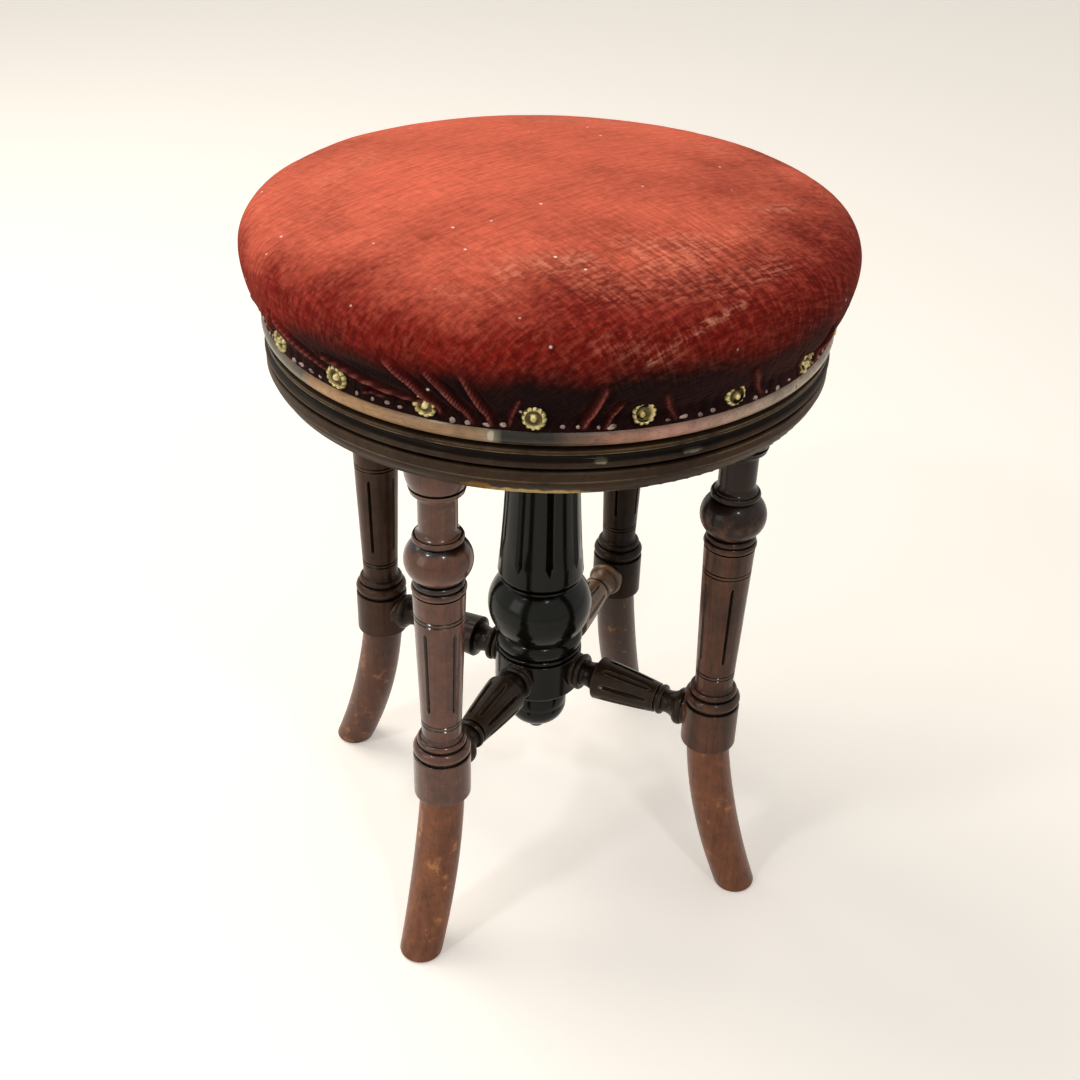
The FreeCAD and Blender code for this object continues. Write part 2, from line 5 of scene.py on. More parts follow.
import bmesh
import bpy
import numpy as np
from bpy.props import FloatProperty, FloatVectorProperty, IntProperty, PointerProperty
from mathutils import Matrix, Vector, noise


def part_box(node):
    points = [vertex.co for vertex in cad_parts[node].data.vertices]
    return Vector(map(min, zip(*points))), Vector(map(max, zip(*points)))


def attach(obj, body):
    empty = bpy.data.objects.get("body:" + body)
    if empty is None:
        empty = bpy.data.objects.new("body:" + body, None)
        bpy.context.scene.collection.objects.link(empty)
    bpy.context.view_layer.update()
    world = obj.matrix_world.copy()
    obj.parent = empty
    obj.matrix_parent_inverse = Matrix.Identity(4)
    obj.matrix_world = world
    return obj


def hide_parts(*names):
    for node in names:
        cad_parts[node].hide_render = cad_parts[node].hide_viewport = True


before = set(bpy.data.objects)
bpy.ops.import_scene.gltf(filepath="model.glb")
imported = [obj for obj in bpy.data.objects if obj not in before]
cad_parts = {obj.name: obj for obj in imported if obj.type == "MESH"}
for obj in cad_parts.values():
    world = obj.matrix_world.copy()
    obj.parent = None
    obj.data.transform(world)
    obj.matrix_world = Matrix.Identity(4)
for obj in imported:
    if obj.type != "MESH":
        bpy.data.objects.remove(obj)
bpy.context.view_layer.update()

bl_info = {
    "name": "Revolving Piano Stool",
    "version": (1, 0, 0),
    "blender": (4, 5, 0),
    "location": "View3D > Sidebar > Stool",
    "description": "Dresses the packed stool with its velvet, nails, wood finishes and stage",
    "category": "Add Mesh",
}

board_low, board_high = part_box("seat_board")
cover_low, cover_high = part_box("velvet_cover")
nails_low, nails_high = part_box("brass_nails")
tacks_low, tacks_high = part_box("upholstery_tacks")
MM = 0.001
# Radius of the hole that the cushion's outline leaves at the axis
POLE = 0.004
# The cloth settles for this many frames, and no vertex moves further than this
SETTLE_FRAMES = 20
SETTLE_REACH = 0.004


def linear(hex_colour):
    """Linear colour of an sRGB hex value."""
    parts = [int(hex_colour[i:i + 2], 16) / 255 for i in (0, 2, 4)]
    return (*[p / 12.92 if p <= 0.04045 else ((p + 0.055) / 1.055) ** 2.4 for p in parts], 1.0)


def tint(name, description, hex_colour):
    """Property that holds a colour."""
    return FloatVectorProperty(name=name, description=description, size=4, min=0.0, max=1.0, subtype="COLOR",
                               default=linear(hex_colour))


def length(name, description, default):
    """Property that holds a length in metres."""
    return FloatProperty(name=name, description=description, default=default, unit="LENGTH")


class CushionSizes(bpy.types.PropertyGroup):
    """Sizes of the stuffed seat and its velvet."""

    edge_radius: length("Covered edge", "Radius of the velvet over the board's edge", 0.1687)
    radius: length("Radius", "Widest radius of the cushion", cover_high.x - 0.0005)
    roll_level: length("Roll level", "Height of the widest part", board_high.z + 0.024)
    crown_level: length("Crown level", "Height of the crown", cover_high.z - 0.0012)
    upper_roll: length("Upper roll", "Radius of the roll above its widest part", 0.020)
    lower_roll: length("Lower roll", "Radius of the roll below its widest part", 0.050)
    cloth: length("Cloth", "Thickness of the velvet", 0.0016)
    clearance: length("Clearance", "Gap left to the wooden board", 0.0003)
    spare: FloatProperty(name="Spare cloth", description="Share of spare cloth gathered under the roll",
                         default=0.10)
    steps: IntProperty(name="Steps", description="Divisions round the seat", default=480)
    thread_turn: FloatProperty(name="Thread direction", description="Turn of the warp threads about Z",
                               default=math.radians(22), subtype="ANGLE")


class NailSizes(bpy.types.PropertyGroup):
    """Sizes and places of the rosette nails and the tacks."""

    count: IntProperty(name="Nails", description="Number of rosette nails", default=19)
    start: FloatProperty(name="First nail", description="Direction of the first nail",
                         default=math.radians(-110.3), subtype="ANGLE")
    radius: length("Radius", "Outer radius of a rosette", 0.0074)
    level: length("Level", "Height of the rosettes' centres", (nails_low.z + nails_high.z) / 2)
    petals: IntProperty(name="Petals", description="Petals of a rosette", default=12)
    tacks_between: IntProperty(name="Tacks", description="Tacks in each run between two nails", default=4)
    tack_radius: length("Tack radius", "Radius of a tack's head", 0.0018)


class FabricColours(bpy.types.PropertyGroup):
    """Colours of the velvet."""

    crown: tint("Crown", "Faded crimson on the crown", "d8684f")
    roll: tint("Roll", "Dye kept on the roll", "7e1a11")
    # Painted shade: near-black colour where shade falls under the roll
    under: tint("Under the roll", "Dark wine under the roll", "140303")
    streak: tint("Streaks", "Pile lying the other way", "4a0d09")
    ground: tint("Ground weave", "Pale weave where the pile is gone", "cf8a70")
    # Painted shade on the sides of the folds
    fold_side_shade: tint("Fold sides", "Sides of the folds", "5c100e")
    # The folds' rubbed edges are also a painted highlight
    rubbed_ridge_highlight: tint("Fold edges", "Rubbed edges of the folds", "b4665e")
    hollow: tint("Hollows", "Deep shade between the folds", "0a0102")
    lint: tint("Lint", "Specks of lint", "f0dcd2")
    sheen: tint("Sheen", "Sheen of the pile", "c05a48")


class WoodColours(bpy.types.PropertyGroup):
    """Colours of the stained woods."""

    leg: tint("Legs", "Red-brown stain of the legs", "4c2c1c")
    leg_light: tint("Legs, light", "Paler figure in the legs", "6e4230")
    back_leg: tint("Back legs", "Dark brown stain of the back legs", "3a281b")
    foot: tint("Feet", "Orange-brown of the feet", "6c3d27")
    foot_light: tint("Feet, light", "Paler figure in the feet", "8a5434")
    foot_worn: tint("Feet, worn", "Bare wood where the feet are rubbed", "c08a50")
    stretcher: tint("Stretchers", "Dark stain of the stretchers", "251a11")
    rubbed: tint("Rubbed stretcher", "Stretcher that has lost its stain", "6c523b")
    column: tint("Column", "Black polish of the column", "10120b")
    platform: tint("Platform", "Black-brown polish of the platform", "3a2f24")
    rim: tint("Seat rim", "Tan edge of the seat board", "8c6a4c")
    arris: tint("Arrises", "Wood showing on rubbed edges", "a48a66")
    # Also painted shade in the creases and sheltered places of the wood
    grime_and_shade: tint("Grime", "Old wax and dirt in the creases", "090604")


class MetalColours(bpy.types.PropertyGroup):
    """Colours of the metals and the leather."""

    brass: tint("Brass", "Aged yellow brass", "a08c56")
    brass_high: tint("Brass, rubbed", "Rubbed high points of the brass", "dccf98")
    brass_film: tint("Brass, film", "Dark film on the brass", "1c140a")
    tack: tint("Tacks", "Dulled steel of the tacks", "5d4a46")
    tack_high: tint("Tacks, rubbed", "Bare heads of the tacks", "b9a49c")
    iron: tint("Iron", "Grey of the cast iron", "2c2a28")
    steel: tint("Steel", "Oiled steel of the screw", "77726a")
    leather: tint("Leather", "Brown of the washer", "5a3820")


class StageSizes(bpy.types.PropertyGroup):
    """Floor, lamps and camera."""

    floor: tint("Floor", "Colour of the floor", "f6f1ea")
    floor_glow: FloatProperty(name="Floor glow", description="Light that the floor adds for the camera",
                              default=0.3)
    key: FloatProperty(name="Key lamp", description="Power of the large lamp, in watts", default=28.0)
    fill: FloatProperty(name="Fill lamp", description="Power of the side lamp, in watts", default=7.0)
    spot: FloatProperty(name="Small lamps", description="Power of each small lamp, in watts", default=3.0)
    sky: FloatProperty(name="Sky", description="Strength of the even light", default=0.5)
    lens: FloatProperty(name="Lens", description="Focal length on a 36 mm sensor", default=47.55)


# Folds that the photo shows under the roll: (direction in degrees, height along the cloth in mm) points,
# then the rise and the half width in mm
FOLDS = [
    ([(-134.5, 35), (-130.2, 22), (-126.2, 6)], 3.0, 3.0),
    ([(-127.6, 34), (-124.1, 18), (-120.5, 3)], 2.8, 2.4),
    ([(-121.4, 34), (-119.1, 16), (-117.2, 3)], 2.8, 2.4),
    ([(-98.6, 30), (-100.2, 12), (-101.5, 3)], 2.8, 2.6),
    ([(-95.4, 18), (-96.4, 12), (-97.7, 2)], 2.0, 2.0),
    ([(-150.0, 20), (-141.0, 14), (-133.0, 11), (-128.0, 8)], 2.0, 2.4),
    ([(-142.0, 5), (-139.5, 7), (-136.8, 6)], 1.2, 1.4),
    ([(-163.0, 30), (-156.0, 19), (-149.5, 9)], 2.0, 3.0),
    ([(-112.5, 20), (-113.6, 10), (-114.2, 3)], 1.4, 2.0),
    ([(-88.0, 22), (-86.8, 12), (-85.0, 3)], 1.2, 2.4),
    ([(-71.0, 26), (-68.5, 14), (-66.5, 4)], 1.4, 2.8),
    ([(-57.0, 20), (-55.5, 11), (-54.0, 3)], 1.2, 2.2),
]

# Pockets pushed in under the roll: direction and height of the centre, half sizes, depth
POCKETS = [(-141.0, 23, 11.0, 7.0, 3.2), (-123.8, 24, 3.2, 9.0, 1.8), (-109.0, 18, 7.0, 9.0, 1.6),
           (-92.0, 20, 6.0, 9.0, 1.4), (-78.0, 18, 9.0, 9.0, 1.2), (-62.0, 17, 6.0, 8.0, 1.2)]

# Nails knocked out of shape: how far the ring has slipped up and to the right, and how crumpled it is, in mm
BENT_NAILS = {1: (1.0, 1.0, 0.3), 2: (1.5, -1.3, 0.5), 3: (0.6, 0.9, 1.7), 9: (-0.9, 0.6, 0.8),
              14: (1.0, 0.2, 0.5), 18: (0.1, -0.4, 0.8)}

# The noise that crumples a rosette stays below 1, so it is lifted to give the sizes above
CRUMPLE_GAIN = 1.02415

# Seeds of the random draws. noise_vector follows the clock unless it gets a seed too
FOLD_SEED = 11
NAIL_SEED = 5
TACK_SEED = 23

# Colour round the edge of the seat board, by direction: stain and wear, made lighter on the front right (-84 to -30
# degrees) as painted light
RIM_BANDS = [(-180, "6a6250"), (-158.5, "6a6250"), (-156.5, "a9845e"), (-140, "a68058"), (-119, "a08060"),
             (-117.2, "b0a68e"), (-116.2, "1c1b14"), (-107, "33281e"), (-101, "7c5e4e"), (-96, "a87a66"),
             (-84, "c09080"), (-72, "b89a88"), (-58, "b4a08c"), (-30, "9c8872"), (60, "6a5240"), (179, "6a6250")]
RIM_MARKS = [((96.4, -140.2, 406.0), (0.9, 0.9, 4.2), "080604", 1.0),
             ((-78.0, -151.0, 405.0), (1.6, 1.6, 5), "c9bfa6", 0.9)]

# Dark marks on the two front legs: bands at the mouldings round the front left leg's bulb, and painted shade over
# the head of the front right leg
BULB_MARKS = [((-91.9, -91.9, 309.5), (24, 24, 3.2), "1c110b", 0.85),
              ((-91.9, -91.9, 283.5), (24, 24, 5.0), "130c08", 0.9)]
HEAD_SHADE_MARKS = [((91.9, -91.9, 326.0), (32, 32, 48), "120c07", 0.85)]

# Marks on the platform: the rubbed brassy lower edge and small bare chips
PLATFORM_MARKS = [((-62.0, -156.0, 371.6), (40, 16, 3.0), "c9ad72", 0.95),
                  ((-84.0, -144.0, 374.0), (9, 7, 3.0), "8a6020", 0.8),
                  ((-40.0, -163.0, 371.2), (9, 4, 2.0), "d8bd86", 0.9),
                  ((-18.0, -167.0, 371.4), (8, 4, 1.8), "c9b088", 0.9),
                  ((-24.0, -166.0, 392.6), (4, 3, 1.6), "b7a98c", 0.9),
                  ((26.0, -165.0, 391.5), (6, 3, 1.4), "8f8a76", 0.8),
                  ((58.0, -158.0, 374.0), (5, 4, 1.8), "a2856a", 0.8),
                  ((60.0, -156.0, 377.5), (28, 12, 4.0), "5a4433", 0.5)]

# Places where the pile is worn off: two ends in mm on the flat cloth from its middle, half width, strength
WORN = [((-58, -112), (-20, -116), 13, 0.85), ((18, -110), (48, -108), 14, 0.75),
        ((2, -100), (14, -97), 6, 0.5), ((10, -128), (40, -122), 9, 0.7),
        ((-6, -190), (50, -162), 3.5, 0.95), ((100, -66), (122, -60), 7, 0.9),
        ((-20, -140), (36, -146), 20, 0.45), ((52, -146), (84, -128), 12, 0.5),
        ((-96, -120), (-70, -132), 10, 0.35), ((-30, -178), (6, -186), 10, 0.35),
        ((60, -100), (96, -88), 10, 0.35), ((-120, 40), (-96, 66), 14, 0.5),
        ((30, 120), (78, 112), 15, 0.55), ((110, 60), (126, 30), 9, 0.4)]


def add(tree, kind, links, **settings):
    """Adds a shader node, sets or links its inputs by name, and returns its first live output."""
    new = tree.nodes.new("ShaderNode" + kind)
    for name, value in settings.items():
        setattr(new, name, value)
    for name, value in links.items():
        by_name = (s for s in new.inputs if s.enabled and s.name == name)
        socket = next(by_name) if isinstance(name, str) else new.inputs[name]
        if isinstance(value, bpy.types.NodeSocket):
            tree.links.new(value, socket)
        else:
            socket.default_value = value
    return next((s for s in new.outputs if s.enabled), None)


def new_material(name):
    """An empty material with its output and shader."""
    made = bpy.data.materials.new(name)
    made.use_nodes = True
    tree = made.node_tree
    tree.nodes.clear()
    shader = tree.nodes.new("ShaderNodeBsdfPrincipled")
    output = tree.nodes.new("ShaderNodeOutputMaterial")
    tree.links.new(shader.outputs["BSDF"], output.inputs["Surface"])
    return made, tree, shader


def velvet(tints):
    """Cotton velvet, dyed crimson and woven: a soft pile with sheen, sun-bleached on top and worn to its weave;
    painted shade under the roll, towards the front, between the folds and on their sides, and a painted highlight
    with the rubbing on the folds' edges.
    """
    made, tree, shader = new_material("cotton_velvet_crimson_worn")
    where = add(tree, "TexCoord", {}).node.outputs["Object"]
    cloth = add(tree, "Attribute", {}, attribute_name="cloth").node.outputs["Vector"]
    worn, thin, rubbed_ridge_highlight, fold_side_shade, pocket_shade = (
        add(tree, "Attribute", {}, attribute_name=name).node.outputs["Fac"]
        for name in ("worn", "thin", "rubbed_ridge_highlight", "fold_side_shade", "pocket_shade"))
    height = add(tree, "SeparateXYZ", {"Vector": where}).node.outputs["Z"]
    # Warp and weft, drawn at 2 mm so that they show
    threads = []
    for fineness in ((40, 430, 1), (430, 50, 1)):
        thread = add(tree, "Mapping", {"Vector": cloth, "Scale": fineness}, vector_type="POINT")
        threads.append(add(tree, "TexNoise", {"Vector": thread, "Scale": 1.0, "Detail": 3.0, "Roughness": 0.6}))
    warp, weft = threads
    weave = add(tree, "Math", {0: warp, 1: weft}, operation="ADD")
    weave = add(tree, "MapRange", {"Value": weave, "From Min": 0.86, "From Max": 1.14})
    # Pile that lies in different directions, in patches of 30 mm and in flecks of 4 mm
    patch = add(tree, "TexNoise", {"Vector": where, "Scale": 15.0, "Detail": 5.0, "Roughness": 0.6})
    nap_map = add(tree, "Mapping", {"Vector": cloth, "Scale": (170, 300, 1)}, vector_type="POINT")
    nap = add(tree, "TexNoise", {"Vector": nap_map, "Scale": 1.0, "Detail": 4.0, "Roughness": 0.66})
    tuft = add(tree, "TexNoise", {"Vector": where, "Scale": 1100.0, "Detail": 2.0, "Roughness": 0.6})
    # Light has faded the top, and the roll below it keeps its dye. Lowest down the colour goes near-black: painted
    # shade under the roll
    edge = add(tree, "MapRange", {"Value": patch, "From Min": 0.3, "From Max": 0.7,
                                  "To Min": -0.010, "To Max": 0.010})
    uneven = add(tree, "Math", {0: height, 1: edge}, operation="ADD")
    # Painted shade: the front is made darker than the back, so the fade reaches less far down there and the shade
    # under the roll higher
    front_shade_tilt = add(tree, "VectorMath", {0: where, 1: (-0.014, 0.095, 0.0)}, operation="DOT_PRODUCT")
    uneven = add(tree, "Math", {0: uneven, 1: front_shade_tilt}, operation="ADD")
    fade_and_front_shade, clear_of_under_shade = (add(tree, "MapRange", {"Value": uneven, "From Min": low, "From Max": high},
                       interpolation_type="SMOOTHSTEP") for low, high in ((0.449, 0.484), (0.420, 0.444)))
    colour = add(tree, "Mix", {"Factor": clear_of_under_shade, "A": tuple(tints.under), "B": tuple(tints.roll)}, data_type="RGBA")
    colour = add(tree, "Mix", {"Factor": fade_and_front_shade, "A": colour, "B": tuple(tints.crown)}, data_type="RGBA")
    streak = add(tree, "MapRange", {"Value": warp, "From Min": 0.42, "From Max": 0.66, "To Max": 0.35})
    streak = add(tree, "Math", {0: streak, 1: clear_of_under_shade}, operation="MULTIPLY")
    colour = add(tree, "Mix", {"Factor": streak, "A": colour, "B": tuple(tints.streak)}, data_type="RGBA")
    nap_shade = add(tree, "MapRange", {"Value": nap, "From Min": 0.34, "From Max": 0.66,
                                       "To Min": -0.40, "To Max": 0.38})
    rough_pile = add(tree, "MapRange", {"Value": fade_and_front_shade, "To Min": 1.0, "To Max": 0.3})
    nap_shade = add(tree, "Math", {0: nap_shade, 1: rough_pile, 2: 1.0}, operation="MULTIPLY_ADD")
    patch_shade = add(tree, "MapRange", {"Value": patch, "From Min": 0.3, "From Max": 0.7,
                                         "To Min": 0.84, "To Max": 1.14})
    shade = add(tree, "Math", {0: nap_shade, 1: patch_shade}, operation="MULTIPLY")
    colour = add(tree, "VectorMath", {0: colour, "Scale": shade}, operation="SCALE")
    # Where the pile is thin the weave shows through as a dark cross hatch
    hatch = add(tree, "MapRange", {"Value": weave, "To Min": -0.55, "To Max": 0.35})
    hatch = add(tree, "Math", {0: hatch, 1: thin, 2: 1.0}, operation="MULTIPLY_ADD")
    colour = add(tree, "VectorMath", {0: colour, "Scale": hatch}, operation="SCALE")
    # Where the pile is gone the pale ground weave shows as a cross hatch
    break_up = add(tree, "MapRange", {"Value": nap, "From Min": 0.40, "From Max": 0.60})
    bare = add(tree, "Math", {0: worn, 1: weave}, operation="MULTIPLY")
    bare = add(tree, "Math", {0: bare, 1: break_up}, operation="MULTIPLY")
    bare = add(tree, "Math", {0: bare, 1: 0.85}, operation="MULTIPLY", use_clamp=True)
    colour = add(tree, "Mix", {"Factor": bare, "A": colour, "B": tuple(tints.ground)}, data_type="RGBA")
    # Folds: painted shade in the hollows between them, painted shade on their sides, and their edges rubbed pale
    # with a painted highlight
    colour = add(tree, "Mix", {"Factor": pocket_shade, "A": colour, "B": tuple(tints.hollow)}, data_type="RGBA")
    # Painted shade on the sides of the folds
    fold_side_shade = add(tree, "Math", {0: fold_side_shade, 1: 0.5}, operation="MULTIPLY")
    colour = add(tree, "Mix", {"Factor": fold_side_shade, "A": colour, "B": tuple(tints.fold_side_shade)}, data_type="RGBA")
    # The folds' edges rubbed pale, partly as a painted highlight
    rubbed_ridge_highlight = add(tree, "Math", {0: rubbed_ridge_highlight, 1: nap_shade}, operation="MULTIPLY", use_clamp=True)
    colour = add(tree, "Mix", {"Factor": rubbed_ridge_highlight, "A": colour, "B": tuple(tints.rubbed_ridge_highlight)}, data_type="RGBA")
    # Specks of lint
    cells = add(tree, "TexVoronoi", {"Vector": where, "Scale": 95.0, "Randomness": 1.0}).node
    near = add(tree, "MapRange", {"Value": cells.outputs["Distance"], "From Min": 0.11, "From Max": 0.05})
    chosen = add(tree, "SeparateColor", {"Color": cells.outputs["Color"]}).node.outputs["Red"]
    chosen = add(tree, "Math", {0: chosen, 1: 0.91}, operation="GREATER_THAN")
    lint = add(tree, "Math", {0: near, 1: chosen}, operation="MULTIPLY")
    colour = add(tree, "Mix", {"Factor": lint, "A": colour, "B": tuple(tints.lint)}, data_type="RGBA")
    relief = add(tree, "Math", {0: tuft, 1: nap}, operation="ADD")
    relief = add(tree, "Math", {0: relief, 1: weave}, operation="ADD")
    bump = add(tree, "Bump", {"Height": relief, "Strength": 0.45, "Distance": 0.0006})
    tree.links.new(colour, shader.inputs["Base Color"])
    tree.links.new(bump, shader.inputs["Normal"])
    shader.inputs["Roughness"].default_value = 0.95
    shader.inputs["Specular IOR Level"].default_value = 0.1
    shader.inputs["Sheen Weight"].default_value = 0.22
    shader.inputs["Sheen Roughness"].default_value = 0.3
    shader.inputs["Sheen Tint"].default_value = tuple(tints.sheen)
    return made


def polished_wood(name, middle, light, worn, grime_and_shade, grain, turn=0.0, gloss=0.24, coat=0.2, wear=0.5, patches=0.0,
                  shine=0.2, bands=(), marks=()):
    """Turned hardwood, stained and French polished.

    The eye gets fine grain under a thin gloss, creases and sheltered places darkened as painted shade together with
    old wax, and pale arrises.
    """
    made, tree, shader = new_material(name)
    where = add(tree, "TexCoord", {}).node.outputs["Object"]
    along = add(tree, "Mapping", {"Vector": where, "Rotation": (0, 0, turn), "Scale": grain}, vector_type="TEXTURE")
    # Figure 25 mm wide, and pores 1 mm wide
    # Stain and wear lie in blotches of 30 mm and a mottle of 7 mm, which take no notice of the grain
    figure, pores, blotch, mottle = (
        add(tree, "TexNoise", {"Vector": place, "Scale": scale, "Detail": detail, "Roughness": rough,
                               "Distortion": bend})
        for place, scale, detail, rough, bend in (
            (along, 70.0, 5.0, 0.6, 0.7), (along, 800.0, 3.0, 0.6, 0.0),
            (where, 34.0, 6.0, 0.65, 0.0), (where, 150.0, 4.0, 0.6, 0.0)))
    # Each noise spread round a middle value, to vary a colour or to make an edge ragged
    varied, ragged_edge, ragged = (
        add(tree, "MapRange", {"Value": source, "From Min": 0.3, "From Max": 0.7, "To Min": low, "To Max": high})
        for source, low, high in ((figure, 0.8, 1.2), (blotch, -0.1, 0.1), (mottle, -0.35, 0.35)))
    colour = add(tree, "MapRange", {"Value": figure, "From Min": 0.34, "From Max": 0.66})
    colour = add(tree, "Mix", {"Factor": colour, "A": tuple(middle), "B": tuple(light)}, data_type="RGBA")
    # Where bands are given, the colour changes round the edge, at directions measured from -180 degrees: stain and
    # wear, with painted light on the seat board's front right
    if bands:
        centred = add(tree, "Mapping", {"Vector": where, "Scale": (1, 1, 0)}, vector_type="POINT")
        around = add(tree, "TexGradient", {"Vector": centred}, gradient_type="RADIAL").node.outputs["Fac"]
        ramp = add(tree, "ValToRGB", {"Fac": around}).node
        while len(ramp.color_ramp.elements) < len(bands):
            ramp.color_ramp.elements.new(0.5)
        for element, (degrees, hex_colour) in zip(ramp.color_ramp.elements, bands):
            element.position = (degrees + 180) / 360
        # A new position can sort the stops again, so the colours follow in a second pass
        for element, (degrees, hex_colour) in zip(ramp.color_ramp.elements, bands):
            element.color = linear(hex_colour)
        banded = add(tree, "VectorMath", {0: ramp.outputs["Color"], "Scale": varied}, operation="SCALE")
        # The banded colour lies on the edge only, so the underside keeps the plain wood
        out = add(tree, "VectorMath", {0: centred}, operation="LENGTH").node.outputs["Value"]
        out = add(tree, "MapRange", {"Value": out, "From Min": 0.158, "From Max": 0.165})
        colour = add(tree, "Mix", {"Factor": out, "A": colour, "B": banded}, data_type="RGBA")
    lines = add(tree, "MapRange", {"Value": pores, "From Min": 0.54, "From Max": 0.70, "To Max": 0.35})
    colour = add(tree, "Mix", {"Factor": lines, "A": colour, "B": tuple(grime_and_shade)}, data_type="RGBA")
    uneven = add(tree, "Math", {0: blotch, 1: mottle}, operation="ADD")
    uneven = add(tree, "MapRange", {"Value": uneven, "From Min": 0.7, "From Max": 1.3,
                                    "To Min": 0.68, "To Max": 1.30})
    colour = add(tree, "VectorMath", {0: colour, "Scale": uneven}, operation="SCALE")
    # Bare patches where the polish has gone
    rubbed = add(tree, "Math", {0: mottle, 1: blotch}, operation="MULTIPLY")
    rubbed = add(tree, "MapRange", {"Value": rubbed, "From Min": 0.33, "From Max": 0.40, "To Max": patches})
    colour = add(tree, "Mix", {"Factor": rubbed, "A": colour, "B": tuple(worn)}, data_type="RGBA")
    # Single marks: middle and half sizes in mm, colour and strength
    for middle_of, half, hex_colour, strength in marks:
        away = add(tree, "VectorMath", {0: where, 1: tuple(c * MM for c in middle_of)}, operation="SUBTRACT")
        away = add(tree, "VectorMath", {0: away, 1: tuple(c * MM for c in half)}, operation="DIVIDE")
        away = add(tree, "VectorMath", {0: away}, operation="LENGTH").node.outputs["Value"]
        away = add(tree, "Math", {0: away, 1: ragged}, operation="ADD")
        inside = add(tree, "MapRange", {"Value": away, "From Min": 1.1, "From Max": 0.7, "To Max": strength})
        colour = add(tree, "Mix", {"Factor": inside, "A": colour, "B": linear(hex_colour)}, data_type="RGBA")
    # Arrises rubbed pale, from how far a rounded normal leaves the true one
    rounded = add(tree, "Bevel", {"Radius": 0.0011}, samples=4)
    normal = add(tree, "NewGeometry", {}).node.outputs["Normal"]
    corner = add(tree, "VectorMath", {0: rounded, 1: normal}, operation="DOT_PRODUCT").node.outputs["Value"]
    corner = add(tree, "MapRange", {"Value": corner, "From Min": 0.985, "From Max": 0.90})
    # Painted shade together with old wax: creases and sheltered places, found by ambient occlusion, go dark
    open_air = add(tree, "AmbientOcclusion", {"Distance": 0.005}, samples=6, only_local=True).node.outputs["AO"]
    crease_shade_and_wax = add(tree, "MapRange", {"Value": open_air, "From Min": 0.85, "From Max": 0.45})
    sheltered_shade_and_wax = add(tree, "AmbientOcclusion", {"Distance": 0.016}, samples=6, only_local=True).node.outputs["AO"]
    sheltered_shade_and_wax = add(tree, "Math", {0: sheltered_shade_and_wax, 1: ragged_edge}, operation="ADD")
    sheltered_shade_and_wax = add(tree, "MapRange", {"Value": sheltered_shade_and_wax, "From Min": 0.96, "From Max": 0.76, "To Max": 0.85})
    crease_shade_and_wax = add(tree, "Math", {0: crease_shade_and_wax, 1: sheltered_shade_and_wax}, operation="MAXIMUM")
    proud = add(tree, "MapRange", {"Value": open_air, "From Min": 0.86, "From Max": 0.98})
    patchy = add(tree, "MapRange", {"Value": blotch, "From Min": 0.40, "From Max": 0.56, "To Max": wear})
    arris = add(tree, "Math", {0: corner, 1: proud}, operation="MULTIPLY")
    arris = add(tree, "Math", {0: arris, 1: patchy}, operation="MULTIPLY")
    colour = add(tree, "Mix", {"Factor": arris, "A": colour, "B": tuple(worn)}, data_type="RGBA")
    colour = add(tree, "Mix", {"Factor": crease_shade_and_wax, "A": colour, "B": tuple(grime_and_shade)}, data_type="RGBA")
    rough = add(tree, "MapRange", {"Value": blotch, "From Min": 0.3, "From Max": 0.75,
                                   "To Min": gloss, "To Max": gloss + 0.22})
    relief = add(tree, "Math", {0: lines, 1: -1.0}, operation="MULTIPLY")
    bump = add(tree, "Bump", {"Height": relief, "Strength": 0.2, "Distance": 0.0002})
    tree.links.new(colour, shader.inputs["Base Color"])
    tree.links.new(rough, shader.inputs["Roughness"])
    tree.links.new(bump, shader.inputs["Normal"])
    shader.inputs["Specular IOR Level"].default_value = shine
    shader.inputs["Coat Weight"].default_value = coat
    shader.inputs["Coat Roughness"].default_value = 0.1
    return made


def metal(name, base, film, high, roughness, grime_depth=0.003, scale=300.0, tarnish=False):
    """Metal that was cast, turned or pressed: bright where it is rubbed, with a dull dark film in its hollows."""
    made, tree, shader = new_material(name)
    where = add(tree, "TexCoord", {}).node.outputs["Object"]
    cloud = add(tree, "TexNoise", {"Vector": where, "Scale": scale, "Detail": 5.0, "Roughness": 0.65})
    open_air = add(tree, "AmbientOcclusion", {"Distance": grime_depth}, samples=6, only_local=True)
    open_air = open_air.node.outputs["AO"]
    mixed = add(tree, "MapRange", {"Value": cloud, "From Min": 0.35, "From Max": 0.65})
    colour = add(tree, "Mix", {"Factor": mixed, "A": tuple(base), "B": tuple(high)}, data_type="RGBA")
    hollow = add(tree, "MapRange", {"Value": open_air, "From Min": 0.9, "From Max": 0.5})
    if tarnish:
        # The rim and the hollow keep a dark film, from an attribute of the mesh: patina in the hollow, patina with
        # painted shade at the rim
        dull = add(tree, "Attribute", {}, attribute_name="film").node.outputs["Fac"]
        hollow = add(tree, "Math", {0: hollow, 1: dull}, operation="MAXIMUM")
    colour = add(tree, "Mix", {"Factor": hollow, "A": colour, "B": tuple(film)}, data_type="RGBA")
    rough = add(tree, "MapRange", {"Value": cloud, "From Min": 0.3, "From Max": 0.7,
                                   "To Min": roughness - 0.1, "To Max": roughness + 0.15})
    bump = add(tree, "Bump", {"Height": cloud, "Strength": 0.3, "Distance": 0.0003})
    tree.links.new(colour, shader.inputs["Base Color"])
    tree.links.new(rough, shader.inputs["Roughness"])
    tree.links.new(bump, shader.inputs["Normal"])
    shader.inputs["Metallic"].default_value = 1.0
    return made


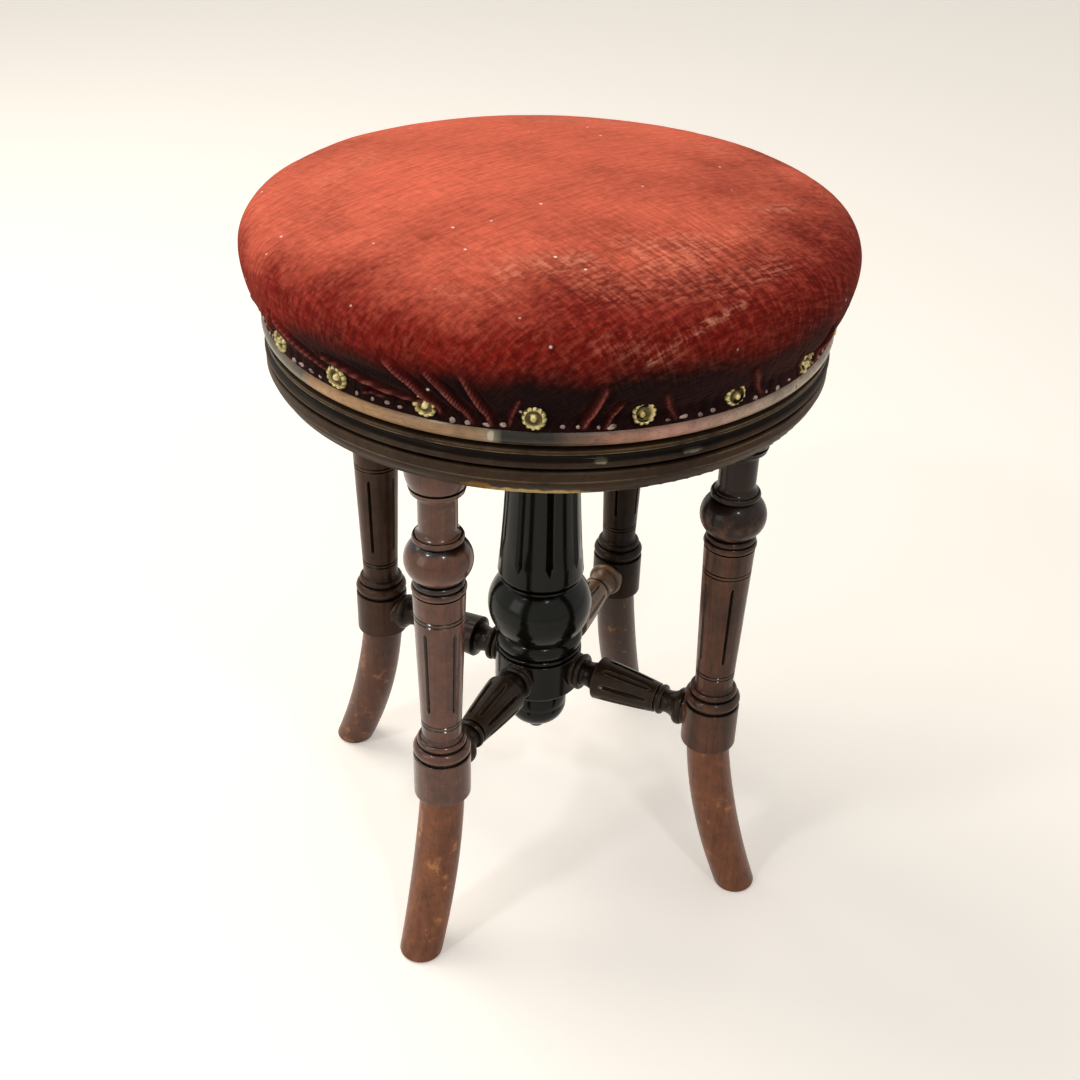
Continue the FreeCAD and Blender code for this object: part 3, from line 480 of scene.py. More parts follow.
def sole_leather(brown):
    """Vegetable-tanned sole leather, pressed: brown, dull, with a fine grain."""
    made, tree, shader = new_material("vegetable_tanned_leather_pressed")
    where = add(tree, "TexCoord", {}).node.outputs["Object"]
    grain = add(tree, "TexVoronoi", {"Vector": where, "Scale": 900.0})
    stain = add(tree, "TexNoise", {"Vector": where, "Scale": 60.0, "Detail": 5.0})
    shade = add(tree, "MapRange", {"Value": stain, "From Min": 0.3, "From Max": 0.7, "To Min": 0.5, "To Max": 1.5})
    colour = add(tree, "VectorMath", {0: tuple(brown)[:3], "Scale": shade}, operation="SCALE")
    bump = add(tree, "Bump", {"Height": grain, "Strength": 0.4, "Distance": 0.0002})
    tree.links.new(colour, shader.inputs["Base Color"])
    tree.links.new(bump, shader.inputs["Normal"])
    shader.inputs["Roughness"].default_value = 0.7
    return made


def dress(made, *names):
    """Gives CAD nodes a material."""
    for name in names:
        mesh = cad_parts[name].data
        mesh.materials.clear()
        mesh.materials.append(made)


def finished(bm, name, made, body, slot, *nodes):
    """Object from a bmesh: material, body, slot (not used), and the CAD nodes it stands for."""
    mesh = bpy.data.meshes.new(name)
    bm.to_mesh(mesh)
    bm.free()
    mesh.materials.append(made)
    for face in mesh.polygons:
        face.use_smooth = True
    piece = bpy.data.objects.new(name, mesh)
    bpy.context.scene.collection.objects.link(piece)
    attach(piece, body)
    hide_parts(*nodes)
    return piece


def baked(piece):
    """Applies the modifiers of a piece."""
    graph = bpy.context.evaluated_depsgraph_get()
    mesh = bpy.data.meshes.new_from_object(piece.evaluated_get(graph))
    piece.modifiers.clear()
    piece.data = mesh


def arc_of(bm, last, centre, angle, steps):
    """Spins the last vertex of an outline about an arc centre in the XZ plane, and returns the new last vertex."""
    made = bmesh.ops.spin(bm, geom=[last], cent=centre, axis=(0, 1, 0), angle=angle, steps=steps)
    return next(v for v in made["geom_last"] if isinstance(v, bmesh.types.BMVert))


def run_of(bm, last, to, steps):
    """Extrudes the last vertex of an outline in a straight run of steps, and returns the new last vertex."""
    step = (Vector(to) - last.co) / steps
    for _ in range(steps):
        made = bmesh.ops.extrude_vert_indiv(bm, verts=[last])
        last = made["verts"][0]
        last.co += step
    return last


def cushion_shell(sizes):
    """Cap of velvet and stuffing over the board, open in two small holes on the axis, with each vertex's height
    along the cloth in a layer.
    """
    bm = bmesh.new()
    along = bm.verts.layers.float.new("along")
    inner = sizes.edge_radius - sizes.cloth
    low = board_high.z + sizes.clearance
    hem = cover_low.z
    upper_centre = sizes.radius - sizes.upper_roll
    lower_centre = sizes.radius - sizes.lower_roll
    gap = sizes.crown_level - sizes.roll_level
    crown_r = (upper_centre ** 2 + gap ** 2 - sizes.upper_roll ** 2) / (2 * (gap - sizes.upper_roll))
    turn_in = math.acos((sizes.edge_radius - lower_centre) / sizes.lower_roll)
    slope = math.atan2(upper_centre, crown_r - gap)
    # The outline stops short of the axis, and the two holes are closed once the cloth has settled
    first = bm.verts.new((POLE, 0, low))
    last = run_of(bm, first, (inner, 0, low), 3)
    last = run_of(bm, last, (inner, 0, hem), 2)
    last = run_of(bm, last, (sizes.edge_radius, 0, hem), 1)
    outer_start = len(bm.verts) - 1
    arc_low = sizes.roll_level - sizes.lower_roll * math.sin(turn_in)
    last = run_of(bm, last, (sizes.edge_radius, 0, arc_low), 5)
    last = arc_of(bm, last, (lower_centre, 0, sizes.roll_level), -turn_in, 11)
    last = arc_of(bm, last, (upper_centre, 0, sizes.roll_level), slope - math.pi / 2, 8)
    hole = math.asin(POLE / crown_r)
    last = arc_of(bm, last, (0, 0, sizes.crown_level - crown_r), hole - slope, 20)
    bm.verts.ensure_lookup_table()
    chain = [first]
    seen = {first}
    while True:
        ends = [e.other_vert(chain[-1]) for e in chain[-1].link_edges if e.other_vert(chain[-1]) not in seen]
        if not ends:
            break
        chain.append(ends[0])
        seen.add(ends[0])
    run = 0.0
    start = chain[outer_start]
    passed = False
    for before, vert in zip(chain, chain[1:]):
        if passed:
            run += (vert.co - before.co).length
            vert[along] = run
        elif vert is start:
            passed = True
            vert[along] = 0.0
    for vert in chain[:outer_start]:
        vert[along] = -1.0
    bmesh.ops.spin(bm, geom=bm.verts[:] + bm.edges[:], cent=(0, 0, 0), axis=(0, 0, 1),
                   angle=2 * math.pi, steps=sizes.steps, use_merge=True)
    bmesh.ops.recalc_face_normals(bm, faces=bm.faces[:])
    return bm, run


def close_poles(mesh):
    """Closes the two round holes on the axis with fans."""
    bm = bmesh.new()
    bm.from_mesh(mesh)
    rims = [e for e in bm.edges if e.is_boundary]
    made = bmesh.ops.holes_fill(bm, edges=rims, sides=0)["faces"]
    bmesh.ops.poke(bm, faces=made)
    bmesh.ops.recalc_face_normals(bm, faces=bm.faces[:])
    bm.to_mesh(mesh)
    bm.free()


def coordinates(mesh):
    """Vertex places, vertex normals and the height along the cloth, as arrays."""
    places = np.empty(len(mesh.vertices) * 3)
    mesh.vertices.foreach_get("co", places)
    normals = np.empty(len(mesh.vertices) * 3)
    mesh.vertices.foreach_get("normal", normals)
    along = np.empty(len(mesh.vertices))
    mesh.attributes["along"].data.foreach_get("value", along)
    return places.reshape(-1, 3), normals.reshape(-1, 3), along


def ease(value):
    """Smooth step from 0 to 1."""
    value = np.clip(value, 0.0, 1.0)
    return value * value * (3 - 2 * value)


def distance_to(x, y, points):
    """Distance of many places to a line through a few points, and how far along it each lies, from 0 to 1."""
    best = np.full(x.shape, 1e9)
    share = np.zeros(x.shape)
    total = len(points) - 1
    for i, ((ax, ay), (bx, by)) in enumerate(zip(points, points[1:])):
        dx, dy = bx - ax, by - ay
        t = np.clip(((x - ax) * dx + (y - ay) * dy) / (dx * dx + dy * dy), 0, 1)
        away = np.hypot(x - ax - t * dx, y - ay - t * dy)
        nearer = away < best
        best = np.where(nearer, away, best)
        share = np.where(nearer, (i + t) / total, share)
    return best, share


def fold_rise(degrees, height, points, rise, half_width, reach):
    """Rise of one fold over the cloth in mm, then how much each place is on its edge, which is rubbed pale and
    given a painted highlight, and on its sides, which get painted shade.
    """
    middle = points[len(points) // 2][0]
    x = ((degrees - middle + 180) % 360 - 180) * reach
    line = [((p[0] - middle) * reach, p[1]) for p in points]
    best, share = distance_to(x, height, line)
    taper = 0.25 + 0.75 * np.sin(np.pi * np.clip(0.15 + 0.8 * share, 0, 1)) ** 0.7
    crest = np.exp(-(best / half_width) ** 2)
    gutter = np.exp(-((best - 2.1 * half_width) / (0.9 * half_width)) ** 2)
    strength = min(1.0, rise / 2.8) * taper
    return (rise * taper * (crest - 0.45 * gutter), strength * np.exp(-(best / (0.34 * half_width)) ** 2),
            strength * crest ** 0.6)


def bumpy(places, scale, shift=0.0):
    """Smooth noise at many places, between about -1 and 1."""
    return np.array([noise.noise(Vector(p) * scale + Vector((shift, shift, shift))) for p in places])


def settle(piece, sizes, pins, slack):
    """Lets the cloth settle under a little pressure, with its hem and its inside held."""
    start = [v.co.copy() for v in piece.data.vertices]
    cloth = piece.modifiers.new("settle", "CLOTH")
    settings = cloth.settings
    settings.quality = 6
    settings.mass = 0.25
    settings.tension_stiffness = 18
    settings.compression_stiffness = 18
    settings.shear_stiffness = 6
    settings.bending_stiffness = 0.4
    settings.use_pressure = True
    settings.uniform_pressure_force = 3.0
    settings.effector_weights.gravity = 0.0
    settings.vertex_group_mass = pins
    settings.vertex_group_shrink = slack
    settings.shrink_min = 0.0
    settings.shrink_max = -sizes.spare
    cloth.collision_settings.use_collision = False
    scene = bpy.context.scene
    for step in range(SETTLE_FRAMES):
        scene.frame_set(step + 1)
    baked(piece)
    scene.frame_set(1)
    for vertex, home in zip(piece.data.vertices, start):
        move = vertex.co - home
        if move.length > SETTLE_REACH:
            vertex.co = home + move * (SETTLE_REACH / move.length)


class STOOL_OT_velvet_cushion(bpy.types.Operator):
    """Domed cushion: velvet pulled down over stuffing, gathered in folds under its roll and tacked to the board"""

    bl_idname = "stool.velvet_cushion"
    bl_label = "Velvet Cushion"

    def execute(self, context):
        sizes, nails = context.scene.stool_cushion, context.scene.stool_nails
        bm, length = cushion_shell(sizes)
        piece = finished(bm, "velvet_cushion", velvet(context.scene.stool_fabric), "seat", "velvet",
                         "velvet_cover", "stuffing_pad")
        mesh = piece.data
        places, normals, along = coordinates(mesh)
        reach = np.clip(length + POLE - np.maximum(along, 0.0), 0.0, None)
        turn = np.arctan2(places[:, 1], places[:, 0]) - sizes.thread_turn
        flat = np.stack((reach * np.cos(turn), reach * np.sin(turn), np.zeros_like(turn)), 1)
        cloth = mesh.attributes.new("cloth", "FLOAT_VECTOR", "POINT")
        cloth.data.foreach_set("vector", flat.ravel())
        # Uneven stuffing starts the cloth off its true round
        lump = bumpy(places, 11) + 0.5 * bumpy(places, 26, 3.0)
        ripple = bumpy(places, 85, 5.0)
        rise = lump * 0.0011 * ease(along / 0.03) + ripple * 0.0006 * (1 - ease(along / 0.06))
        places += normals * (rise * (along > 0.002))[:, None]
        mesh.vertices.foreach_set("co", places.ravel())
        pins = piece.vertex_groups.new(name="pins")
        slack = piece.vertex_groups.new(name="slack")
        held = np.where(along < 0.004, 1.0, 1.0 - 0.9 * ease((along - 0.004) / 0.014))
        loose = ease(along / 0.008) * (1 - ease((along - 0.02) / 0.045))
        for index in range(len(along)):
            pins.add([index], float(held[index]), "REPLACE")
            slack.add([index], float(loose[index]), "REPLACE")
        settle(piece, sizes, "pins", "slack")
        smooth = piece.modifiers.new("smooth", "SUBSURF")
        smooth.levels = 1
        smooth.render_levels = 1
        baked(piece)
        piece.vertex_groups.clear()
        close_poles(piece.data)
        self.fold(piece.data, sizes, nails)
        self.wear(piece.data, sizes)
        for face in piece.data.polygons:
            face.use_smooth = True
        return {"FINISHED"}

    def fold(self, mesh, sizes, nails):
        """Raises the pulled folds, the pockets, the gathers at the tacks and the dents at the nails."""
        rng = random.Random(FOLD_SEED)
        folds = list(FOLDS)
        direction = -48.0
        while direction < 190.0:
            lean = rng.uniform(-7.0, 7.0)
            top = rng.uniform(18.0, 34.0)
            folds.append(([(direction + lean, top), (direction + 0.35 * lean, 0.5 * top), (direction, 3.0)],
                          rng.uniform(1.2, 2.6), rng.uniform(2.0, 3.0)))
            direction += rng.uniform(8.0, 21.0)
        reach = math.radians(1) * sizes.edge_radius / MM
        pitch = 2 * math.pi / nails.count
        places, normals, along = coordinates(mesh)
        height = along / MM
        turn = np.arctan2(places[:, 1], places[:, 0])
        degrees = np.degrees(turn)
        move, edges, fold_side_shades, dark = (np.zeros(len(places)) for _ in range(4))
        for points, rise, half in folds:
            up, edge, fold_side_shade = fold_rise(degrees, height, points, 1.1 * rise, 0.62 * half, reach)
            move += up
            edges = np.maximum(edges, edge)
            fold_side_shades = np.maximum(fold_side_shades, fold_side_shade)
        for centre, level, wide, tall, depth in POCKETS:
            aside = (degrees - centre + 180) % 360 - 180
            hollow = np.exp(-(aside / wide) ** 2 - ((height - level) / tall) ** 2)
            move -= depth * hollow
            dark = np.maximum(dark, np.minimum(1.0, depth / 1.6) * hollow)
        outside = height >= 0
        # Masks for the colour: the folds' edges, rubbed and with a painted highlight; painted shade on their sides
        # and in the pockets
        shading = {"rubbed_ridge_highlight": 0.8 * edges * outside, "fold_side_shade": fold_side_shades * outside,
                   "pocket_shade": dark * (1 - fold_side_shades) * outside}
        for name, value in shading.items():
            layer = mesh.attributes.new(name, "FLOAT", "POINT")
            layer.data.foreach_set("value", np.clip(value, 0, 1))
        # Gathers between the tacks, dying out up the roll
        step = (turn - nails.start) / pitch
        place = step - np.floor(step)
        runs = np.cos((place - 0.26) / 0.16 * 2 * math.pi)
        mask = ease((place - 0.14) / 0.08) * ease((0.86 - place) / 0.08)
        uneven = np.clip(0.5 + 0.9 * bumpy(np.stack((step * 2.7, 0 * step, 0 * step), 1), 1.0, 3.0), 0, None)
        fade = ease(height / 3.0) * (1 - ease((height - 6) / 12))
        move -= 0.5 * uneven * runs * mask * fade
        # Dents under the nail heads
        near = np.minimum(place, 1 - place) * pitch * sizes.edge_radius / MM
        level = (places[:, 2] - nails.level) / MM
        move -= 0.9 * (1 - ease(np.hypot(near, level) / 8.5))
        hem = 1 - ease(height / 2.0)
        move += 0.35 * hem * bumpy(np.stack((turn * 40, 0 * turn, 0 * turn), 1), 1.0, 9.0)
        free = (height >= 0) * (1 - ease((height - 45) / 15)) * np.maximum(ease(height / 4.0), 0.25)
        places += normals * (np.clip(move, -5.0, 5.0) * free * MM)[:, None]
        mesh.vertices.foreach_set("co", places.ravel())
        mesh.update()

    def wear(self, mesh, sizes):
        """Marks the places where the pile is worn off."""
        flat = np.empty(len(mesh.vertices) * 3)
        mesh.attributes["cloth"].data.foreach_get("vector", flat)
        flat = flat.reshape(-1, 3) / MM
        cos, sin = math.cos(sizes.thread_turn), math.sin(sizes.thread_turn)
        x, y = flat[:, 0] * cos - flat[:, 1] * sin, flat[:, 0] * sin + flat[:, 1] * cos
        strength = np.zeros(len(x))
        for start, end, half, amount in WORN:
            away, share = distance_to(x, y, [start, end])
            strength = np.maximum(strength, amount * (1 - ease((away - 0.3 * half) / half)))
        ring = np.hypot(x, y)
        general = 0.02 + 0.12 * ease((ring - 90) / 40) * (1 - ease((ring - 185) / 25))
        thin = 0.12 + 0.8 * np.exp(-((x - 45) / 85) ** 2 - ((y + 128) / 48) ** 2)
        for name, value in (("thin", thin), ("worn", np.maximum(strength, general))):
            layer = mesh.attributes.new(name, "FLOAT", "POINT")
            layer.data.foreach_set("value", value)


class STOOL_OT_rosette_nails(bpy.types.Operator):
    """Nineteen pressed brass rosettes: a petalled rim, a hollow ring and a centre boss, none quite straight"""

    bl_idname = "stool.rosette_nails"
    bl_label = "Rosette Nails"

    def rosette(self, nails):
        """One rosette about Z, its face up."""
        bm = bmesh.new()
        r = nails.radius
        outline = [(0.0, 2.6), (0.9, 2.5), (1.6, 2.0), (2.1, 1.2), (2.6, 0.6), (3.4, 0.5), (4.1, 0.7), (4.7, 1.5),
                   (5.2, 2.2), (5.8, 2.3), (6.4, 1.8), (6.9, 1.1), (7.3, 0.5), (7.4, 0.2), (7.0, 0.0), (0.0, 0.0)]
        verts = [bm.verts.new((x * r / 7.4, 0, z * MM)) for x, z in outline]
        edges = [bm.edges.new(pair) for pair in zip(verts, verts[1:])]
        bmesh.ops.spin(bm, geom=verts + edges, cent=(0, 0, 0), axis=(0, 0, 1), angle=2 * math.pi,
                       steps=6 * nails.petals, use_merge=True)
        bmesh.ops.remove_doubles(bm, verts=bm.verts[:], dist=1e-6)
        film = bm.verts.layers.float.new("film")
        for vert in bm.verts:
            reach = math.hypot(vert.co.x, vert.co.y) / r
            rim = ease((reach - 0.70) / 0.12)
            petal = abs(math.cos(nails.petals / 2 * math.atan2(vert.co.y, vert.co.x))) ** 0.6
            vert.co.x *= 1 - 0.10 * rim * (1 - petal)
            vert.co.y *= 1 - 0.10 * rim * (1 - petal)
            vert.co.z *= 1 - 0.5 * rim * (1 - petal)
            # Dark film: patina in the hollow, and between the petals and round the outer edge patina together with
            # painted shade
            hollow = ease((reach - 0.27) / 0.08) * ease((0.68 - reach) / 0.10)
            vert[film] = max(0.85 * hollow, 0.8 * rim * (1 - petal), 0.9 * ease((reach - 0.88) / 0.1))
        bmesh.ops.recalc_face_normals(bm, faces=bm.faces[:])
        mesh = bpy.data.meshes.new("rosette")
        bm.to_mesh(mesh)
        bm.free()
        return mesh

    def execute(self, context):
        nails, sizes = context.scene.stool_nails, context.scene.stool_cushion
        one = self.rosette(nails)
        rng = random.Random(NAIL_SEED)
        noise.seed_set(NAIL_SEED)
        bm = bmesh.new()
        for i in range(nails.count):
            before = len(bm.verts)
            bm.from_mesh(one)
            bm.verts.ensure_lookup_table()
            fresh = bm.verts[before:]
            angle = nails.start + 2 * math.pi * i / nails.count
            up, aside, crumple = BENT_NAILS.get(i, (rng.uniform(-0.4, 0.4), rng.uniform(-0.4, 0.4), 0.12))
            lean = Matrix.Rotation(math.radians(rng.uniform(-6, 6)), 4, "X")
            lean @= Matrix.Rotation(math.radians(rng.uniform(-6, 6)), 4, "Y")
            spin = Matrix.Rotation(rng.uniform(0, 6.28), 4, "Z")
            squeeze = Matrix.Diagonal((rng.uniform(0.90, 1.02), rng.uniform(0.92, 1.03), rng.uniform(0.8, 1.1), 1))
            bmesh.ops.transform(bm, matrix=squeeze @ spin, verts=fresh)
            # A bent rosette's ring has slipped to one side of its boss
            for vert in fresh:
                share = ease((math.hypot(vert.co.x, vert.co.y) / nails.radius - 0.42) / 0.3)
                vert.co += Vector((-up, aside, 0.35 * (up + aside))) * share * MM
                crush = noise.noise_vector(vert.co * 330 + Vector((i, i, i)))
                vert.co += crush * crumple * MM * CRUMPLE_GAIN
            stand = Matrix.Rotation(math.pi / 2, 4, "Y")
            seat = Matrix.Translation((sizes.edge_radius - 0.0002, rng.uniform(-0.0008, 0.0008),
                                       nails.level + rng.uniform(-0.0006, 0.0006)))
            turn = Matrix.Rotation(angle, 4, "Z")
            bmesh.ops.transform(bm, matrix=turn @ seat @ stand @ lean, verts=fresh)
        metals = context.scene.stool_metals
        brass = metal("pressed_brass_aged", metals.brass, metals.brass_film, metals.brass_high, 0.38, scale=420.0,
                      tarnish=True)
        finished(bm, "brass_rosette_nails", brass, "seat", "brass", "brass_nails")
        return {"FINISHED"}


class STOOL_OT_tacks(bpy.types.Operator):
    """Small upholstery tacks in the runs between the rosettes, hammered in unevenly"""

    bl_idname = "stool.tacks"
    bl_label = "Upholstery Tacks"

    def execute(self, context):
        nails, sizes = context.scene.stool_nails, context.scene.stool_cushion
        rng = random.Random(TACK_SEED)
        noise.seed_set(TACK_SEED)
        bm = bmesh.new()
        pitch = 2 * math.pi / nails.count
        middle = (tacks_low.z + tacks_high.z) / 2
        for nail in range(nails.count):
            for i in range(nails.tacks_between):
                place = 0.26 + 0.48 * i / (nails.tacks_between - 1) + rng.uniform(-0.02, 0.02)
                turn = Matrix.Rotation(nails.start + pitch * (nail + place), 4, "Z")
                seat = Matrix.Translation((sizes.edge_radius - 0.0004, 0, middle + rng.uniform(-0.0007, 0.0009)))
                lean = Matrix.Rotation(math.pi / 2 + rng.uniform(-0.3, 0.3), 4, "Y")
                lean @= Matrix.Rotation(rng.uniform(-0.3, 0.3), 4, "X")
                size = rng.uniform(0.8, 1.1) * nails.tack_radius
                head = bmesh.ops.create_uvsphere(bm, u_segments=9, v_segments=6, radius=size)["verts"]
                wide = rng.choice((0.8, 1.0, 1.0, 1.1, 1.7))
                flat = Matrix.Diagonal((rng.uniform(0.6, 1.0), wide, 0.55, 1.0))
                bmesh.ops.transform(bm, matrix=turn @ seat @ lean @ flat, verts=head)
                for vert in head:
                    vert.co += noise.noise_vector(vert.co * 600) * 0.00045
        metals = context.scene.stool_metals
        steel = metal("blued_steel_tacks_dulled", metals.tack, metals.brass_film, metals.tack_high, 0.5,
                      scale=260.0)
        finished(bm, "tack_heads", steel, "seat", "iron", "upholstery_tacks")
        return {"FINISHED"}


class STOOL_OT_wood_finishes(bpy.types.Operator):
    """Stain and French polish on the turned legs, feet, stretchers, column, platform and seat board"""

    bl_idname = "stool.wood_finishes"
    bl_label = "Wood Finishes"

    def execute(self, context):
        woods = context.scene.stool_woods
        upright, flat = (1, 1, 22), (22, 1, 1)
        arris = woods.arris
        # Name, main and paler stain, worn colour, grain, settings, nodes
        dull = {"wear": 0.35, "shine": 0.12}
        woods_used = [
            ("stained_birch_rosewood_colour", woods.leg, woods.leg_light, arris, upright,
             {"patches": 0.1, "wear": 0.4, "coat": 0.45, "gloss": 0.2, "marks": BULB_MARKS}, ["leg_front_left"]),
            # The front right leg has painted shade over its head
            ("stained_birch_painted_shade_head", woods.back_leg, woods.leg_light, arris, upright,
             {**dull, "coat": 0.2, "marks": HEAD_SHADE_MARKS}, ["leg_front_right"]),
            ("stained_birch_dark_brown", woods.back_leg, woods.leg, arris, upright, {**dull, "coat": 0.1},
             ["leg_back_left"]),
            # Painted shade: the back right leg is made near-black
            ("birch_leg_painted_shade_dark", woods.stretcher, woods.back_leg, arris, upright,
             {"wear": 0.35, "coat": 0.05, "shine": 0.08}, ["leg_back_right"]),
            ("stained_birch_worn_foot", woods.foot, woods.foot_light, woods.foot_worn, upright,
             {"patches": 0.6, "gloss": 0.3}, ["foot_front_left", "foot_front_right"]),
            # The back feet are made darker than the front ones as painted shade
            ("stained_birch_foot_shaded", woods.leg, woods.foot, woods.foot_worn, upright,
             {"patches": 0.3, "gloss": 0.3}, ["foot_back_left"]),
            ("stained_birch_foot_painted_shade", woods.back_leg, woods.leg, woods.foot_worn, upright,
             {"patches": 0.3, "gloss": 0.3}, ["foot_back_right"]),
            *(("ebonised_stretcher_" + name, woods.stretcher, woods.back_leg, arris, flat,
               {"turn": math.radians(turn), "wear": 0.6, "coat": 0.1, "shine": 0.12}, ["stretcher_" + name])
              for name, turn in (("front_left", 45), ("front_right", -45), ("back_left", -45))),
            ("rubbed_stretcher_back_right", woods.rubbed, woods.rim, arris, flat,
             {"turn": math.radians(45), "patches": 0.4}, ["stretcher_back_right"]),
            ("ebonised_birch_french_polished", woods.column, woods.column, woods.rubbed, upright,
             {"gloss": 0.08, "coat": 0.22, "shine": 0.08, "wear": 0.2}, ["column", "column_drop"]),
            ("ebonised_beech_platform", woods.platform, woods.back_leg, arris, flat,
             {"turn": math.radians(25), "gloss": 0.42, "coat": 0.03, "shine": 0.08, "wear": 1.0,
              "marks": PLATFORM_MARKS}, ["platform_lower_board", "platform_upper_board"]),
            ("stained_beech_seat_rim", woods.rim, woods.rim, arris, flat,
             {"turn": math.radians(-30), "wear": 0.9, "patches": 0.3, "bands": RIM_BANDS, "marks": RIM_MARKS},
             ["seat_board"]),
        ]
        for name, middle, light, worn, grain, settings, nodes in woods_used:
            dress(polished_wood(name, middle, light, worn, woods.grime_and_shade, grain, **settings), *nodes)
        return {"FINISHED"}


class STOOL_OT_ironwork(bpy.types.Operator):
    """Cast iron nut and flange, oiled steel screw and screws, and the leather washer between them"""

    bl_idname = "stool.ironwork"
    bl_label = "Ironwork"

    def execute(self, context):
        metals = context.scene.stool_metals
        iron = metal("grey_cast_iron", metals.iron, metals.brass_film, metals.steel, 0.6, scale=250.0)
        steel = metal("turned_steel_oiled", metals.steel, metals.brass_film, metals.tack, 0.32, scale=180.0)
        dress(iron, "screw_nut", "seat_flange")
        dress(steel, "lift_screw", "screw_pin", "nut_screws", "flange_screws")
        dress(sole_leather(metals.leather), "leather_washer")
        return {"FINISHED"}


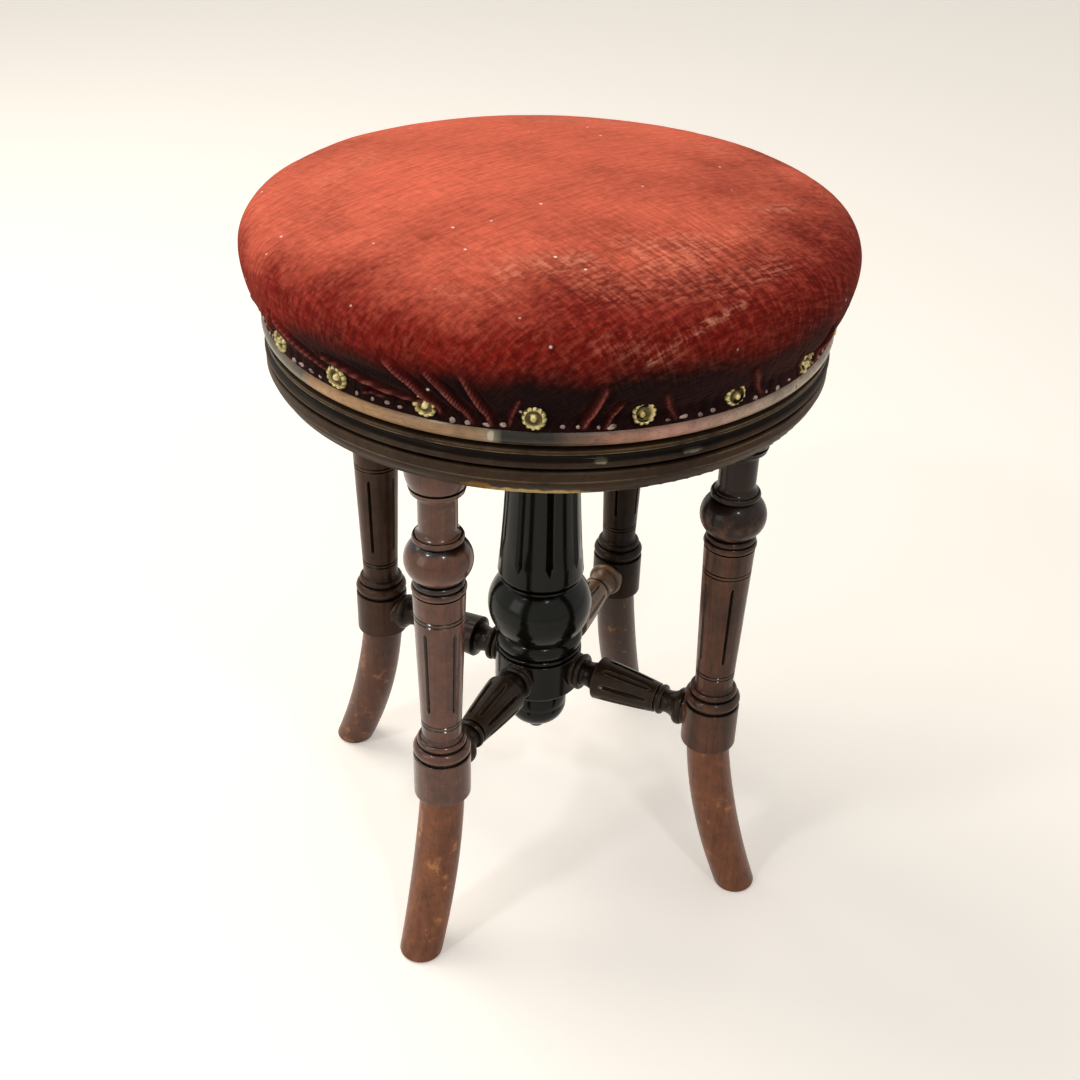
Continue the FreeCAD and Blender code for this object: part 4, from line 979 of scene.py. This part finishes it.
class STOOL_OT_stage(bpy.types.Operator):
    """Plain pale floor, soft studio lamps and the camera"""

    bl_idname = "stool.stage"
    bl_label = "Stage"

    def lamp(self, name, place, target, size, power, colour):
        """An area lamp at a place, turned to a target."""
        data = bpy.data.lights.new(name, "AREA")
        data.shape = "RECTANGLE"
        data.size, data.size_y = size
        data.energy = power
        data.color = linear(colour)[:3]
        made = bpy.data.objects.new(name, data)
        made.location = place
        made.rotation_euler = (Vector(target) - Vector(place)).to_track_quat("-Z", "Y").to_euler()
        bpy.context.scene.collection.objects.link(made)

    def seen_directly(self, tree):
        """One for rays from the camera, from a gloss and through glass."""
        rays = add(tree, "LightPath", {}).node.outputs
        direct = add(tree, "Math", {0: rays["Is Camera Ray"], 1: rays["Is Glossy Ray"]}, operation="MAXIMUM")
        return add(tree, "Math", {0: direct, 1: rays["Is Transmission Ray"]}, operation="MAXIMUM")

    def execute(self, context):
        scene, stage = context.scene, context.scene.stool_stage
        bm = bmesh.new()
        bmesh.ops.create_grid(bm, x_segments=1, y_segments=1, size=25.0)
        mesh = bpy.data.meshes.new("floor")
        bm.to_mesh(mesh)
        bm.free()
        floor = bpy.data.objects.new("floor", mesh)
        scene.collection.objects.link(floor)
        made, tree, shader = new_material("matt_floor_paint")
        shader.inputs["Base Color"].default_value = tuple(stage.floor)
        shader.inputs["Emission Color"].default_value = tuple(stage.floor)
        shader.inputs["Roughness"].default_value = 0.7
        glow = add(tree, "Math", {0: self.seen_directly(tree), 1: stage.floor_glow}, operation="MULTIPLY")
        tree.links.new(glow, shader.inputs["Emission Strength"])
        mesh.materials.append(made)

        world = bpy.data.worlds.new("studio")
        world.use_nodes = True
        tree = world.node_tree
        tree.nodes.clear()
        # The even light comes from the sides, the back and above, and little of it from the front
        towards = add(tree, "TexCoord", {}).node.outputs["Generated"]
        front = add(tree, "VectorMath", {0: towards, 1: (-0.25, -0.93, -0.27)}, operation="DOT_PRODUCT")
        dim = add(tree, "MapRange", {"Value": front, "From Min": -0.1, "From Max": 0.7,
                                     "To Min": 1.0, "To Max": 0.3})
        sky = add(tree, "Math", {0: dim, 1: stage.sky}, operation="MULTIPLY")
        even = add(tree, "Background", {"Color": linear("fffaf2"), "Strength": sky})
        seen = add(tree, "Background", {"Color": linear("fffdf8"), "Strength": 1.0})
        both = add(tree, "MixShader", {0: self.seen_directly(tree), 1: even, 2: seen})
        output = tree.nodes.new("ShaderNodeOutputWorld")
        tree.links.new(both, output.inputs["Surface"])
        scene.world = world

        # Two large soft lamps behind and at the side, and two small ones for the glints on the polish
        self.lamp("key", (-0.9, 1.0, 2.0), (0, 0, 0.4), (1.4, 1.4), stage.key, "fff8ee")
        self.lamp("fill", (-2.0, -0.6, 1.0), (0, 0, 0.25), (0.9, 1.2), stage.fill, "fffaf4")
        for name, place in (("spot_left", (-0.88, -0.39, 1.4)), ("spot_right", (0.07, -0.96, 1.4))):
            self.lamp(name, place, (0, 0, 0.25), (0.12, 0.12), stage.spot, "ffffff")

        camera = bpy.data.cameras.new("camera")
        camera.sensor_width = 36.0
        camera.lens = stage.lens
        camera.clip_start, camera.clip_end = 0.05, 40.0
        stand = bpy.data.objects.new("camera", camera)
        stand.matrix_world = Matrix((
            (0.95500551, 0.14258256, -0.26006671, -0.24774618),
            (-0.2956359, 0.52784462, -0.79622828, -0.75541218),
            (0.02374655, 0.83728745, 0.54624705, 0.75406699),
            (0, 0, 0, 1)))
        scene.collection.objects.link(stand)
        scene.camera = stand
        scene.view_settings.view_transform = "Standard"
        return {"FINISHED"}


class STOOL_PT_panel(bpy.types.Panel):
    """Lists the stool's pieces and finishes"""

    bl_idname = "STOOL_PT_panel"
    bl_label = "Piano Stool"
    bl_space_type = "VIEW_3D"
    bl_region_type = "UI"
    bl_category = "Stool"

    def draw(self, context):
        for operator in OPERATORS:
            self.layout.operator(operator.bl_idname)
        for kept_in, kind in GROUPS.items():
            for name in kind.__annotations__:
                self.layout.prop(getattr(context.scene, kept_in), name)


OPERATORS = (STOOL_OT_stage, STOOL_OT_velvet_cushion, STOOL_OT_rosette_nails, STOOL_OT_tacks,
             STOOL_OT_wood_finishes, STOOL_OT_ironwork)
GROUPS = {"stool_cushion": CushionSizes, "stool_nails": NailSizes, "stool_fabric": FabricColours,
          "stool_woods": WoodColours, "stool_metals": MetalColours, "stool_stage": StageSizes}
CLASSES = (*GROUPS.values(), *OPERATORS, STOOL_PT_panel)


def register():
    for kind in CLASSES:
        bpy.utils.register_class(kind)
    for kept_in, kind in GROUPS.items():
        setattr(bpy.types.Scene, kept_in, PointerProperty(type=kind))


def unregister():
    for kept_in in GROUPS:
        delattr(bpy.types.Scene, kept_in)
    for kind in reversed(CLASSES):
        bpy.utils.unregister_class(kind)


def main():
    """Registers the classes and makes every piece."""
    register()
    bpy.ops.stool.stage()
    bpy.ops.stool.velvet_cushion()
    bpy.ops.stool.rosette_nails()
    bpy.ops.stool.tacks()
    bpy.ops.stool.wood_finishes()
    bpy.ops.stool.ironwork()


if __name__ == "__main__":
    main()
